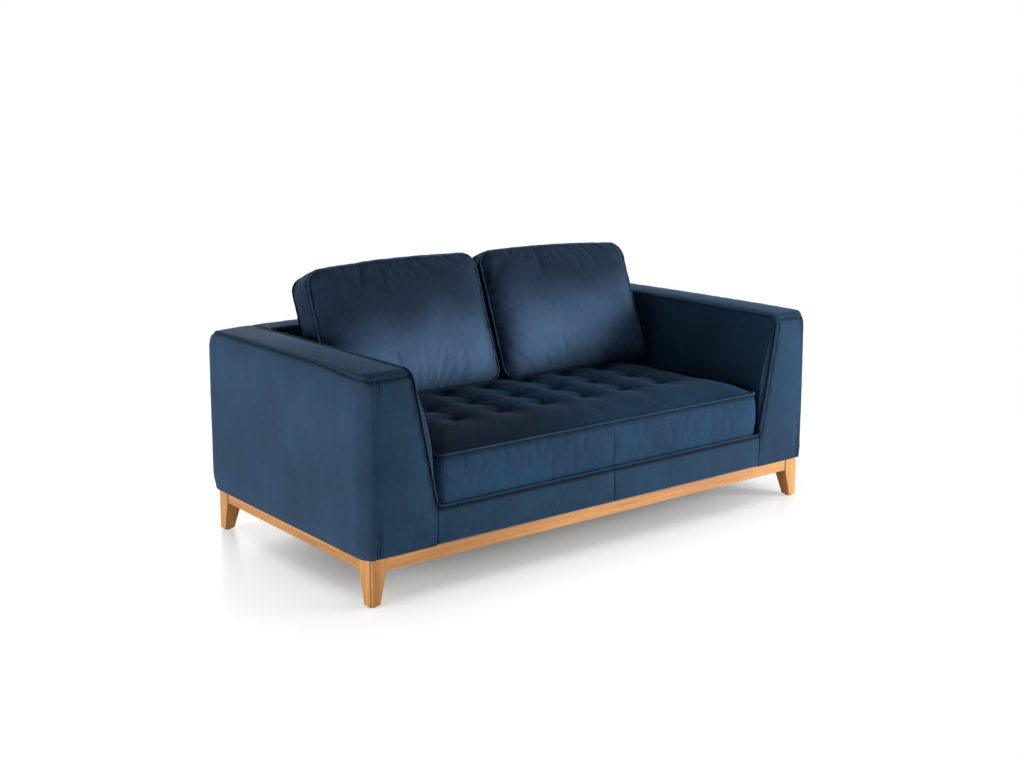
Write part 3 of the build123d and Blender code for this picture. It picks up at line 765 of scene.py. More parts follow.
@dataclass
class BoxCushion:
    """A loose box cushion: two crowned panels and a boxing strip, with a cord in its edges."""

    name: str
    body: str
    node: str
    low: Tuple[float, float]
    high: Tuple[float, float]
    boxing: float
    crowns: Tuple[float, float]
    corner: float
    draw_in: float
    place: Matrix
    pitch: float
    welts: Dict[str, float]
    finish: Velvet
    reach: float = 0.128
    heel: float = 0.0
    tufts: List[Tuple[float, float]] = field(default_factory=list)
    tuft_depth: float = 0.0155
    tuft_rim: float = 0.070
    rests: bool = False
    middle_seam: bool = False
    tuck: float = 0.0030
    swell_out: float = 0.0
    sag: float = 0.0
    settle: Optional[Callable[[Vector], Vector]] = None
    highlight_amount: Optional[Callable[[float, float, float], float]] = None
    cord: float = 0.0046
    waver: float = 0.0012
    gather: float = 0.0030
    belly: float = 0.0
    # Extra painted shade on the cover, as a function of a place.
    shade: Optional[Callable[[float, float, float], float]] = None
    ripples: List[float] = field(default_factory=list)

    def span(self, axis: int) -> float:
        """Width of the panel for axis 0, length for axis 1."""
        return self.high[axis] - self.low[axis]

    def middle(self) -> Vector:
        """Middle of the panel."""
        return Vector(((self.high[0] + self.low[0]) / 2, (self.high[1] + self.low[1]) / 2))

    def inside(self, x: float, y: float) -> float:
        """Distance of a point of the panel from its outline."""
        half_x, half_y = self.span(0) / 2, self.span(1) / 2
        far_x = abs(x - (self.high[0] + self.low[0]) / 2) - half_x + self.corner
        far_y = abs(y - (self.high[1] + self.low[1]) / 2) - half_y + self.corner
        outer = math.hypot(max(far_x, 0.0), max(far_y, 0.0)) + min(max(far_x, far_y), 0.0)
        return max(self.corner - outer, 0.0)

    def drawn(self, x: float, y: float, z: float) -> Vector:
        """Draws the sides in between the corners and slopes the heel.

        Args:
            x: across the cushion.
            y: along the cushion.
            z: through the cushion.

        Returns:
            The point in the cushion's own frame.
        """
        middle, half = self.middle(), Vector((self.span(0) / 2, self.span(1) / 2))
        across, along = (x - middle.x) / half.x, (y - middle.y) / half.y
        x -= self.draw_in * across * (1.0 - along * along)
        y -= self.draw_in * along * (1.0 - across * across)
        y += self.swell_out * ease((along + 1.0) / 2.0) * (1.0 - across * across)
        lean = (1.0 + math.copysign(across, across * self.sag)) / 2.0
        y -= abs(self.sag) * lean**1.5 * (along + 1.0) / 2.0
        share = min(max(0.5 - z / self.boxing, 0.0), 1.0)
        y += self.heel * share * (1.0 - along) / 2.0
        return Vector((x, y, z))

    def tucked(self, x: float, y: float, z: float) -> Vector:
        """Pulls the cover in beside its seams, where the cord lies.

        Args:
            x: across the cushion.
            y: along the cushion.
            z: through the cushion.

        Returns:
            The point of the plain box, pulled in.
        """
        depth = self.inside(x, y)
        pull = 0.0
        for edge in self.welts.values():
            pull = max(pull, math.exp(-math.hypot(depth, abs(z - edge)) / 0.010))
        middle = self.middle()
        inward = Vector((middle.x - x, middle.y - y, 0.0))
        inward.x *= self.span(1)
        inward.y *= self.span(0)
        sink = Vector((0, 0, math.copysign(self.tuck, z) * pull * (depth > CLOSE)))
        return Vector((x, y, z)) + inward.normalized() * self.tuck * pull - sink

    def crowned(self, point: Vector) -> Vector:
        """Raises the panels into crowns and pulls the tufts down.

        Args:
            point: a point of the plain box.

        Returns:
            The point of the cover before it is filled.
        """
        x, y, z = point
        depth = self.inside(x, y)
        gathered = self.tucked(x, y, z) - point
        if depth < CLOSE:
            middle = self.middle()
            outward = Vector(((x - middle.x) * self.span(1), (y - middle.y) * self.span(0), 0.0))
            gathered += outward.normalized() * self.belly * (1.0 - (2.0 * z / self.boxing) ** 2)
        rise = math.sin(math.pi / 2 * min(depth / self.reach, 1.0)) ** 0.9 if depth > WELD else 0.0
        if z > self.boxing / 2 - CLOSE:
            z += self.crowns[1] * rise
            for column, row in self.tufts:
                away = math.hypot(x - column, (y - row) * 1.12)
                if away < self.tuft_rim:
                    z -= self.tuft_depth * (1.0 - away / self.tuft_rim) ** 2.8
            z -= self.fold(x, y)
        elif z < CLOSE - self.boxing / 2:
            z -= self.crowns[0] * rise
        return self.drawn(x, y, z) + gathered

    def fold(self, x: float, y: float) -> float:
        """Depth of the soft folds that run from tuft to tuft.

        Args:
            x: across the cushion.
            y: along the cushion.

        Returns:
            The depth of the fold.
        """
        if not self.tufts:
            return 0.0
        columns, rows = sorted({spot[0] for spot in self.tufts}), sorted({spot[1] for spot in self.tufts})
        sway = 0.010 * math.sin((y - rows[0]) / (rows[1] - rows[0]) * 2.0 * math.pi)
        beside = min(abs(x - column - sway) for column in columns)
        behind = min(abs(y - row) for row in rows)
        within = ease((y - rows[0] + 0.015) / 0.03) * ease((rows[-1] + 0.16 - y) / 0.08)
        across = ease((columns[-1] + 0.03 - abs(x)) / 0.06)
        return 0.0060 * math.exp(-beside / 0.013) * within + 0.0022 * math.exp(-behind / 0.020) * across

    def sewn_down(self, point: Vector) -> float:
        """How firmly a point of the plain box is held while the cover is filled.

        Args:
            point: a point of the plain box.

        Returns:
            1 on seams and stitches, 0 on free cloth.
        """
        x, y, z = point
        if abs(abs(z) - self.boxing / 2) < CLOSE and self.inside(x, y) < CLOSE:
            return 1.0
        if self.rests and z < CLOSE - self.boxing / 2:
            return 1.0
        if z > self.boxing / 2 - CLOSE:
            near = [math.hypot(x - column, y - row) for column, row in self.tufts]
            if near and min(near) < self.pitch * 0.8:
                return 1.0
        return 0.0

    def pucker(self, point: Vector) -> float:
        """Height of the gathers that run from a corded edge into the panel and the boxing.

        Args:
            point: a point of the plain box.

        Returns:
            The height along the surface normal.
        """
        x, y, z = point
        depth = self.inside(x, y)
        away = min(math.hypot(depth, z - edge) for edge in self.welts.values())
        to_side = min(x - self.low[0], self.high[0] - x) < min(y - self.low[1], self.high[1] - y)
        along = y if to_side else x
        place = Vector((along * 62.0, away * 9.0, 3.1 * to_side + self.low[0] * 40.0 + z * 8.0))
        patch = 0.35 + 0.65 * max(noise.noise(point * 7.0) + 0.4, 0.0)
        return self.gather * patch * noise.noise(place) * math.exp(-away / 0.030) * ease(away / 0.010)

    def painted_shade_share(self, point: Vector) -> float:
        """How much shade is painted beside a cord, on the middle seam, in a tuft and where the cushion's own
        shade function adds it.

        Args:
            point: a point of the plain box.

        Returns:
            1 on a seam, 0 away from it.
        """
        x, y, z = point
        depth = self.inside(x, y)
        width = 0.0065 if depth > NEAR else 0.0105
        share = max(math.exp(-((math.hypot(depth, z - edge) / width) ** 4)) for edge in self.welts.values())
        if self.middle_seam and y < self.low[1] + 0.02 and depth < NEAR:
            share = max(share, 0.9 * math.exp(-((x / 0.0036) ** 2)))
        if self.tufts and z > self.boxing / 2 - CLOSE:
            away = min(math.hypot(x - column, y - row) for column, row in self.tufts)
            share = max(share, 0.8 * math.exp(-((away / 0.010) ** 2)))
        return max(share, self.shade(x, y, z)) if self.shade else share

    def build(self) -> bpy.types.Object:
        """Makes the cover before it is filled.

        Returns:
            The cover, with its seams in the vertex group "sewn".
        """
        half = self.boxing / 2
        form = Form.block((*self.low, -half), (*self.high, half))
        form.round_edges(lambda middle, way: abs(way.z) > 0.9, self.corner, 6)
        form.cut(0, steps(self.low[0], self.high[0], self.pitch))
        form.cut(0, [-0.0035, 0.0035] if self.middle_seam else [])
        form.cut(1, steps(self.low[1], self.high[1], self.pitch))
        form.cut(2, steps(-half, half, self.pitch))
        form.mesh.verts.index_update()
        form.put_in_order()
        held = [self.sewn_down(vert.co) for vert in form.mesh.verts]
        painted_highlight = [self.highlight_amount(*vert.co) if self.highlight_amount else 0.0 for vert in form.mesh.verts]
        # Painted shade beside the cords, on the middle seam, in the tuft pinches and where shade adds more.
        form.mark("seam", self.painted_shade_share)
        self.ripples = [self.pucker(vert.co) for vert in form.mesh.verts]
        form.shape(self.crowned)
        bmesh.ops.transform(form.mesh, matrix=self.place, verts=form.mesh.verts[:])
        made = form.piece(self.name)
        group = made.vertex_groups.new(name="sewn")
        for index, weight in enumerate(held):
            if weight:
                group.add([index], weight, "REPLACE")
        made.data.attributes.new("painted_highlight", "FLOAT", "POINT").data.foreach_set("value", painted_highlight)
        self.finish.dress(made)
        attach(made, self.body)
        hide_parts(self.node)
        LOG.info("cut out %s", self.name)
        return made

    def edge(self, z: float) -> List[Vector]:
        """Path of the cord round one edge of the boxing.

        Args:
            z: the edge's place through the cushion.

        Returns:
            Points along the edge.
        """
        corners = [
            Vector((self.low[0], self.low[1], z)), Vector((self.high[0], self.low[1], z)),
            Vector((self.high[0], self.high[1], z)), Vector((self.low[0], self.high[1], z)),
        ]
        path = Piping.rounded(corners, [self.corner] * 4)
        return [self.place @ (self.drawn(*point) + (self.tucked(*point) - point) * 0.4) for point in path]

    def crease(self, point: Vector, normal: Vector) -> float:
        """How much shade is painted on a cord: where it faces the boxing, where it is pressed down, and in
        patches on a heeled cushion.

        Args:
            point: a point of the cord.
            normal: the normal there.

        Returns:
            1 where the cord is darkest, 0 where it is plain.
        """
        inner, facing = self.place.inverted() @ point, self.place.to_3x3().inverted() @ normal
        # Painted shade: all round where the cord is pressed onto the seat, in patches along a heeled
        # cushion's cords, and on the side that faces the boxing.
        pressed = 0.9 * ease((0.035 - inner.y) / 0.03) if self.heel else 0.0
        patchy_shade = 0.35 + 0.5 * noise.noise(point * 38.0) if self.heel else 0.0
        return max(pressed, patchy_shade, ease((0.70 - facing.z * math.copysign(1.0, inner.z)) / 0.5))

    def sew_welts(self) -> None:
        """Sews the cords into the edges of the boxing."""
        for node, z in self.welts.items():
            Piping(f"{node}_cord", self.body, node, self.edge(z), self.crease, self.cord, self.waver).build()

    def calm(self, cover: bpy.types.Object) -> None:
        """Smooths the panel between the first row of tufts and the front edge.

        Args:
            cover: the filled cover.
        """
        form = Form()
        form.mesh.from_mesh(cover.data)
        first, level = min(row for _, row in self.tufts), self.place.translation.z + self.boxing / 2
        smooth = [
            vert for vert in form.mesh.verts
            if vert.co.z > level - 0.002 and self.low[1] + 0.015 < vert.co.y < first - 0.028
            and abs(vert.co.x) < self.high[0] - 0.015
        ]
        for _ in range(14):
            bmesh.ops.smooth_vert(form.mesh, verts=smooth, factor=0.5, use_axis_z=True)
        form.mesh.to_mesh(cover.data)
        form.mesh.free()

    def soften(self, cover: bpy.types.Object) -> None:
        """Lets the filled cover settle on what carries it and smooths it by one level of subdivision.

        Args:
            cover: the filled cover.
        """
        if self.tufts:
            self.calm(cover)
        pushes = [vert.normal * ripple for vert, ripple in zip(cover.data.vertices, self.ripples)]
        for vert, push in zip(cover.data.vertices, pushes):
            vert.co = self.settle(vert.co + push) if self.settle else vert.co + push
        soft = cover.modifiers.new("soften", "SUBSURF")
        soft.levels = soft.render_levels = 1


@dataclass
class Tub:
    """The fixed upholstery: two arms, the back between them, the front border and the deck.

    Slack, bulge and pulls say how the outer corners of the arms give way: how far the give reaches, how far
    the sides stand out, and how far they draw in at the front, the rear, the top and the bottom.
    """

    body: str = "sofa_frame"
    half_width: float = 0.900
    front: float = -0.468
    rear: float = 0.4725
    floor_gap: float = 0.140
    deck: float = 0.252
    top: float = 0.655
    deck_x: float = 0.667
    top_x: float = 0.750
    back_top: float = 0.3545
    back_slope: float = 0.1051
    edge: float = 0.015
    roll: float = 0.034
    groove: float = 0.011
    cap_front: float = 0.017
    cap_side: float = 0.0044
    crown: float = 0.008
    bolster: float = 0.026
    pitch: float = 0.014
    gap: float = 0.0002
    hem: float = 0.012
    arm_hem: float = 0.014
    slack: Tuple[float, float] = (0.055, 0.060)
    bulge: float = 0.006
    pulls: Tuple[float, float, float, float] = (0.022, 0.013, 0.007, 0.006)
    # Painted highlight on the outer side of each arm.
    side_nap: float = 0.060

    def arm_face(self, z: float) -> float:
        """Inner face of an arm at a height."""
        return self.deck_x + max(z - self.deck, 0.0) * (self.top_x - self.deck_x) / (self.top - self.deck)

    def back_face(self, z: float) -> float:
        """Inner face of the back at a height."""
        return self.back_top - (self.top - z) * self.back_slope

    def dress(self, piece: bpy.types.Object, node: str, fill: float) -> None:
        """Puts velvet on a padded piece, hangs it on its body and hides the solid that it stands for.

        Args:
            piece: the padded piece.
            node: the CAD node that it replaces.
            fill: not used.
        """
        VELVET.dress(piece)
        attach(piece, self.body)
        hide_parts(node)
        LOG.info("upholstered %s", piece.name)

    def arm(self, side: int) -> bpy.types.Object:
        """Makes one arm.

        Args:
            side: -1 for the left arm, 1 for the right one.

        Returns:
            The arm.
        """
        form = Form.block((self.deck_x, self.front, self.floor_gap), (self.half_width, self.rear, self.top))
        form.cut(2, [self.deck])
        outer, top, front, rear, low = self.half_width, self.top, self.front, self.rear, self.floor_gap

        def slope(point: Vector) -> Vector:
            """Leans the inner face outwards."""
            if point.x < (outer + self.deck_x) / 2:
                point.x = self.arm_face(point.z)
            return point

        form.shape(slope)
        form.round_edges(
            along_x(lambda spot: spot.z > top - CLOSE and spot.y < front + CLOSE), self.roll, 8
        )
        form.round_edges(
            lambda middle, way: (middle.x > outer - CLOSE and middle.z > low + NEAR)
            or (abs(way.x) > 0.9 and middle.z > top - CLOSE and middle.y > rear - CLOSE),
            self.edge, 10,
        )
        form.round_edges(
            lambda middle, way: middle.z < low + CLOSE and (middle.x > outer - NEAR or abs(way.x) > 0.5),
            self.arm_hem, 4,
        )
        form.round_edges(
            lambda middle, way: middle.x < self.arm_face(middle.z) + NEAR and middle.z > self.deck + 0.01
            and (middle.y < front + self.roll or middle.z > top - CLOSE)
            and abs(way.x) < 0.6 and middle.y < rear - 0.01,
            self.groove, 4,
        )
        cap = top - self.cap_front
        form.cut(0, steps(self.deck_x, outer, self.pitch))
        form.cut(0, [outer - self.edge - inward for inward in (0.001, 0.004, 0.007, 0.0105, 0.014)])
        form.cut(0, [self.deck_x + 0.0012])
        form.cut(1, steps(front, rear, self.pitch))
        form.cut(1, [front + self.groove + 0.001, front + self.groove + 0.004, rear - self.edge - 0.004])
        form.cut(2, steps(low, top, self.pitch))
        form.cut(2, [cap + rise for rise in (-0.006, -0.003, 0.0, 0.003, 0.006)])
        form.cut(2, [top - self.edge - 0.004])
        middle_y, middle_z = (front + rear) / 2, (low + top) / 2

        def fill(point: Vector, normal: Vector) -> float:
            """Crowns the panels between their seams."""
            along = 1.0 - ((point.y - middle_y) / (rear - middle_y)) ** 2
            up = 1.0 - ((point.z - middle_z) / (top - middle_z)) ** 2
            inner = self.arm_face(point.z)
            across = max(1.0 - ((point.x - (inner + outer) / 2) / ((outer - inner) / 2)) ** 2, 0)
            weight = max(normal.x, 0) * along * up + abs(normal.y) * up * across
            weight += max(normal.z, 0) * along * across
            risen = min(max((point.z - self.deck) / (top - self.deck), 0.0), 1.0)
            soft = max(math.sin(math.pi * risen), 0.0) ** 1.3 * ease((point.y - front - 0.004) / 0.008)
            soft *= 0.25 + 0.75 * math.exp(-max(point.y - front - 0.02, 0.0) / 0.10)
            return self.crown * max(weight, 0.0) ** 0.6 + self.bolster * soft * max(-normal.x, 0.0) ** 0.5

        form.press(fill)
        inset = self.edge * 0.3
        lip = self.roll - math.sqrt(self.roll ** 2 - (self.roll - self.cap_front) ** 2)
        bend = Vector((outer - inset, front + 0.26, top - self.cap_side))
        dip = Vector((outer - inset * 0.5, front + 0.09, (top - self.cap_side + cap * 2) / 3))
        turn = Vector((outer - inset, front + lip + inset, cap))
        corner = Vector((outer - self.edge - 0.004, front + lip, cap))
        felled = corner - Vector((0.0085, lip, 0.010))
        back_corner = Vector((outer - inset, rear - inset, top - self.cap_side))
        seams = [
            SeamLine(bend, back_corner),
            SeamLine(bend, dip),
            SeamLine(dip, turn),
            SeamLine(turn, corner),
            SeamLine.between(corner, (self.arm_face(cap), front + lip, cap)),
            SeamLine.between(back_corner, (self.top_x, rear - inset, top - self.cap_side)),
        ]
        form.press(sewn(seams, CAP_STITCH, 3.0 + side))
        stitched = [
            SeamLine.between((corner.x, front, cap - 0.008), (corner.x, front, low)),
            SeamLine.between(felled, (felled.x, front, low)),
            SeamLine.between(back_corner, (back_corner.x, back_corner.y, low)),
        ]
        form.press(sewn(stitched, FELL_STITCH, 5.0))
        edging = [
            SeamLine.between((self.deck_x, front, self.deck), (self.top_x - 0.006, front, top - self.roll)),
            SeamLine.between((self.top_x, front + self.roll, top), (self.top_x, rear - 0.12, top)),
        ]
        near_seam, near_stitch = painted_shade(seams, 0.0044), painted_shade(stitched, 0.0030)
        near_front, near_cord = painted_shade(edging[:1], 0.0125, 4), painted_shade(edging[1:], 0.0110, 4)
        # Painted shade along the seams, the felled stitching and the crease beside the cords.
        form.mark(
            "seam",
            lambda point: max(
                near_seam(point), 0.85 * near_stitch(point), 0.6 * near_cord(point),
                near_front(point) * (point.y < front + 0.008),
            ),
        )
        # Painted highlight lightens the outer side of the arm.
        form.mark("painted_highlight", lambda point: self.side_nap * ease((point.x - outer + 0.012) / 0.012))

        slack_y, slack_z = self.slack
        pull_front, pull_rear, pull_top, pull_low = self.pulls

        def slacken(point: Vector) -> Vector:
            """Draws the outer corners in, where the filling gives way."""
            ahead, behind = 1.0 - ease((point.y - front) / slack_y), 1.0 - ease((rear - point.y) / slack_y)
            above, below = 1.0 - ease((top - point.z) / slack_z), 1.0 - ease((point.z - low) / slack_z)
            out = ease((point.x - self.top_x) / (outer - self.top_x))
            ahead *= 1.0 - 0.2 * below
            kept = self.bulge - pull_front * ahead**2 - pull_rear * behind**2
            point.x += out * (kept - pull_top * above**2 - pull_low * below**2)
            point.y += 0.004 * (1.0 - ease((point.y - front) / 0.05)) * below ** 2
            point.y += behind * (0.004 - 0.008 * above ** 2 - 0.006 * below ** 2)
            point.z -= out * above * (0.009 * behind ** 2 + 0.003 * ahead ** 2)
            return point

        form.shape(slacken)
        if side < 0:
            bmesh.ops.scale(form.mesh, vec=(-1.0, 1.0, 1.0), verts=form.mesh.verts[:])
        word = "left" if side < 0 else "right"
        made = form.piece(f"padded_arm_{word}", 1)
        self.dress(made, f"arm_cover_{word}", 0.9)
        return made

    def back(self) -> bpy.types.Object:
        """Makes the padded back between the arms.

        Returns:
            The back.
        """
        wide, top, rear, low = self.top_x, self.top, self.rear, self.floor_gap
        form = Form.block((-wide, self.back_face(low), low), (wide, rear, top))
        form.cut(2, [self.deck])

        def lean(point: Vector) -> Vector:
            """Leans the inner face back and narrows the ends to the arms."""
            point.x = math.copysign(self.arm_face(point.z) - 0.0004, point.x)
            if point.y < self.rear - 0.05:
                point.y = self.back_face(point.z)
            return point

        form.shape(lean)
        form.round_edges(along_x(lambda spot: spot.z > top - CLOSE and spot.y > rear - CLOSE), self.edge, 10)
        form.round_edges(along_x(lambda spot: spot.z > top - CLOSE and spot.y < rear - 0.1), self.groove, 4)
        form.round_edges(along_x(lambda spot: spot.z < low + CLOSE and spot.y > rear - CLOSE), self.hem, 4)
        form.cut(0, steps(-wide, wide, self.pitch * 1.3))
        form.cut(1, steps(0.30, rear, self.pitch))
        form.cut(2, steps(low, top, self.pitch * 1.3) + [top - self.edge - 0.004])
        middle_z = (low + top) / 2

        def fill(point: Vector, normal: Vector) -> float:
            """Crowns the panels between their seams."""
            along = 1.0 - (point.x / wide) ** 2
            up = 1.0 - ((point.z - middle_z) / (top - middle_z)) ** 2
            across = 1.0 - ((point.y - 0.414) / 0.06) ** 2
            weight = abs(normal.y) * along * up + max(normal.z, 0) * along * max(across, 0)
            return self.crown * max(weight, 0.0) ** 0.6

        form.press(fill)
        height, inset = top - self.cap_side, self.edge * 0.3
        seams = [SeamLine.between((-wide, rear - inset, height), (wide, rear - inset, height))]
        form.press(sewn(seams, BACK_STITCH, 11.0))
        edging = [SeamLine.between((-wide, self.back_top, top), (wide, self.back_top, top))]
        near_seam, near_cord = painted_shade(seams, 0.0042), painted_shade(edging, 0.0110, 4)
        # Painted shade along the rear seam and beside the cord.
        form.mark("seam", lambda point: max(near_seam(point), near_cord(point)))
        made = form.piece("padded_back", 1)
        self.dress(made, "back_cover", 0.9)
        return made

    def border(self) -> bpy.types.Object:
        """Makes the padded border under the seat cushion.

        Returns:
            The border.
        """
        wide, low, top, front = self.deck_x - self.gap, self.floor_gap, self.deck, self.front
        form = Form.block((-wide, front, low), (wide, -0.414, top))
        form.round_edges(along_x(lambda spot: spot.z < low + CLOSE and spot.y < front + CLOSE), self.hem, 4)
        form.round_edges(
            along_x(lambda spot: spot.z > top - CLOSE and spot.y < front + CLOSE), self.groove, 4
        )
        form.cut(0, steps(-wide, wide, 0.012) + [-0.006, -0.003, 0.003, 0.006])
        form.cut(0, [-wide + 0.0012, wide - 0.0012])
        rim = top - self.groove
        form.cut(2, steps(low, rim, 0.010) + [rim - 0.003, rim - 0.006])

        def fill(point: Vector, normal: Vector) -> float:
            """Crowns the border lightly."""
            up = 1.0 - ((point.z - 0.196) / 0.056) ** 2
            ends = ease((wide - abs(point.x)) / 0.05)
            return 0.004 * ends * max(up, 0.0) ** 0.6 * max(-normal.y, 0.0)

        form.press(fill)
        seams = [SeamLine.between((0.0, front - 0.003, low), (0.0, front - 0.003, top))]
        form.press(sewn(seams, BORDER_STITCH, 17.0))
        edging = [SeamLine.between((-wide, front, top), (wide, front, top))]
        near_seam, near_cord = painted_shade(seams, 0.0036), painted_shade(edging, 0.0130, 4)
        # Painted shade along the middle seam and beside the cord.
        form.mark("seam", lambda point: max(0.8 * near_seam(point), near_cord(point)))
        made = form.piece("padded_front_border", 1)
        self.dress(made, "front_border", 0.9)
        return made

    def platform(self) -> bpy.types.Object:
        """Makes the padded platform that the seat cushion lies on.

        Returns:
            The platform.
        """
        low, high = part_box("deck_pad")
        form = Form.block(low, high)
        form.round_edges(lambda middle, way: middle.z > high.z - CLOSE, 0.003, 3)
        form.cut(0, steps(low.x, high.x, 0.04))
        form.cut(1, steps(low.y, high.y, 0.04))

        def give(point: Vector) -> Vector:
            """Lets the top of the padding sink a little, unevenly."""
            sink = 0.0006 * (1 + noise.noise(point * 9.0)) * (point.z > 0.25)
            return point - Vector((0, 0, sink))

        form.shape(give)
        made = form.piece("padded_platform", 1)
        self.dress(made, "deck_pad", 0.9)
        return made

    def piping(self) -> None:
        """Sews the cord round the opening of the tub."""
        corners = [
            Vector((self.deck_x, self.front, self.deck)), Vector((self.top_x, self.front, self.top)),
            Vector((self.top_x, self.back_top, self.top)), Vector((-self.top_x, self.back_top, self.top)),
            Vector((-self.top_x, self.front, self.top)), Vector((-self.deck_x, self.front, self.deck)),
        ]

        def shade(point: Vector, normal: Vector) -> float:
            """Paints shade on the side of the cord that lies in the crease of the panel beside it."""
            if point.z < self.deck + 0.02:
                return ease((0.85 - normal.z) / 0.4)
            if point.y > self.front + self.roll:
                return 0.5 * ease((math.copysign(normal.x, point.x * normal.x) - 0.2) / 0.5)
            return ease((math.copysign(normal.x, point.x * normal.x) + 0.60) / 0.5)

        Piping(
            "tub_cord", self.body, "tub_welt",
            Piping.rounded(corners, [0.025, self.roll, 0.025, 0.025, self.roll, 0.025]), shade,
        ).build()

    def build(self) -> None:
        """Makes the whole tub."""
        self.arm(-1)
        self.arm(1)
        self.back()
        self.border()
        self.platform()
        self.piping()


@dataclass
class LegFrame:
    """The wooden leg frame: its CAD solids with broken edges and grain along each piece."""

    ways: Dict[str, Grain] = field(
        default_factory=lambda: {
            **{f"leg_{end}_{side}": Grain.ALONG_Z for end in ("front", "rear") for side in ("left", "right")},
            **{f"apron_{end}": Grain.ALONG_X for end in ("front", "rear")},
            **{f"apron_side_{side}": Grain.ALONG_Y for side in ("left", "right")},
        }
    )
    break_edge: float = 0.0016

    def build(self) -> None:
        """Breaks the edges of the wooden pieces and dresses them."""
        for node, way in self.ways.items():
            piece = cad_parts[node]
            join = piece.modifiers.new("join", "WELD")
            join.merge_threshold = WELD
            plane = piece.modifiers.new("plane", "DECIMATE")
            plane.decimate_type, plane.angle_limit = "DISSOLVE", math.radians(1.0)
            ease_edge = piece.modifiers.new("break_edge", "BEVEL")
            ease_edge.width, ease_edge.segments, ease_edge.limit_method = self.break_edge, 2, "ANGLE"
            flat = piece.modifiers.new("flat_faces", "WEIGHTED_NORMAL")
            flat.weight, flat.mode = 100, "FACE_AREA"
            WOOD[way].dress(piece)
            LOG.info("finished %s", node)


@dataclass
class HiddenFrame:
    """The pieces inside the upholstery and under the sofa, which keep their CAD shapes."""

    finishes: Dict[str, Finish] = field(
        default_factory=lambda: {
            **dict.fromkeys(
                (
                    "arm_front_board", "arm_rear_board", "arm_top_rail", "arm_base_rail", "arm_inner_rail",
                    "back_base_rail", "back_top_rail", "back_ribs", "seat_front_rail", "seat_rear_rail",
                    "seat_side_rails", "seat_centre_bearer", "base_cross_rail", "corner_blocks",
                ),
                FRAME_WOOD,
            ),
            **dict.fromkeys(("back_straps", "seat_straps"), WEBBING),
            **dict.fromkeys(("base_screws", "arm_bolts", "arm_bolt_nuts"), STEEL),
            **dict.fromkeys(("seat_cushion_filling", "back_cushion_filling"), FILLING),
            "leg_glides": GLIDE, "seat_cushion_stitches": THREAD,
        }
    )

    @staticmethod
    def dust_cover() -> None:
        """Stretches the dust cloth under the frame, with a little sag between its staples."""
        form = Form()
        form.mesh.from_mesh(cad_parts["dust_cover"].data)
        bmesh.ops.remove_doubles(form.mesh, verts=form.mesh.verts[:], dist=WELD)
        form.cut(0, steps(-0.85, 0.85, 0.03))
        form.cut(1, steps(-0.418, 0.4225, 0.03))

        def sag(point: Vector) -> Vector:
            """Lets the cloth hang between the rails."""
            across = math.sin(math.pi * min(abs(point.x) / 0.85, 1.0)) ** 2
            free = across * max(1.0 - (point.y / 0.42) ** 2, 0.0)
            return point - Vector((0, 0, 0.0035 * free * (0.8 + 0.4 * noise.noise(point * 8.0))))

        form.shape(sag)
        made = form.piece("dust_cover_cloth")
        DUST_CLOTH.dress(made)
        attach(made, "sofa_frame")
        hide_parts("dust_cover")
        LOG.info("stretched %s", made.name)

    def build(self) -> None:
        """Dresses each hidden piece."""
        self.dust_cover()
        for node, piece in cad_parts.items():
            for start, finish in self.finishes.items():
                if node in (start, f"{start}_left", f"{start}_right"):
                    finish.dress(piece)


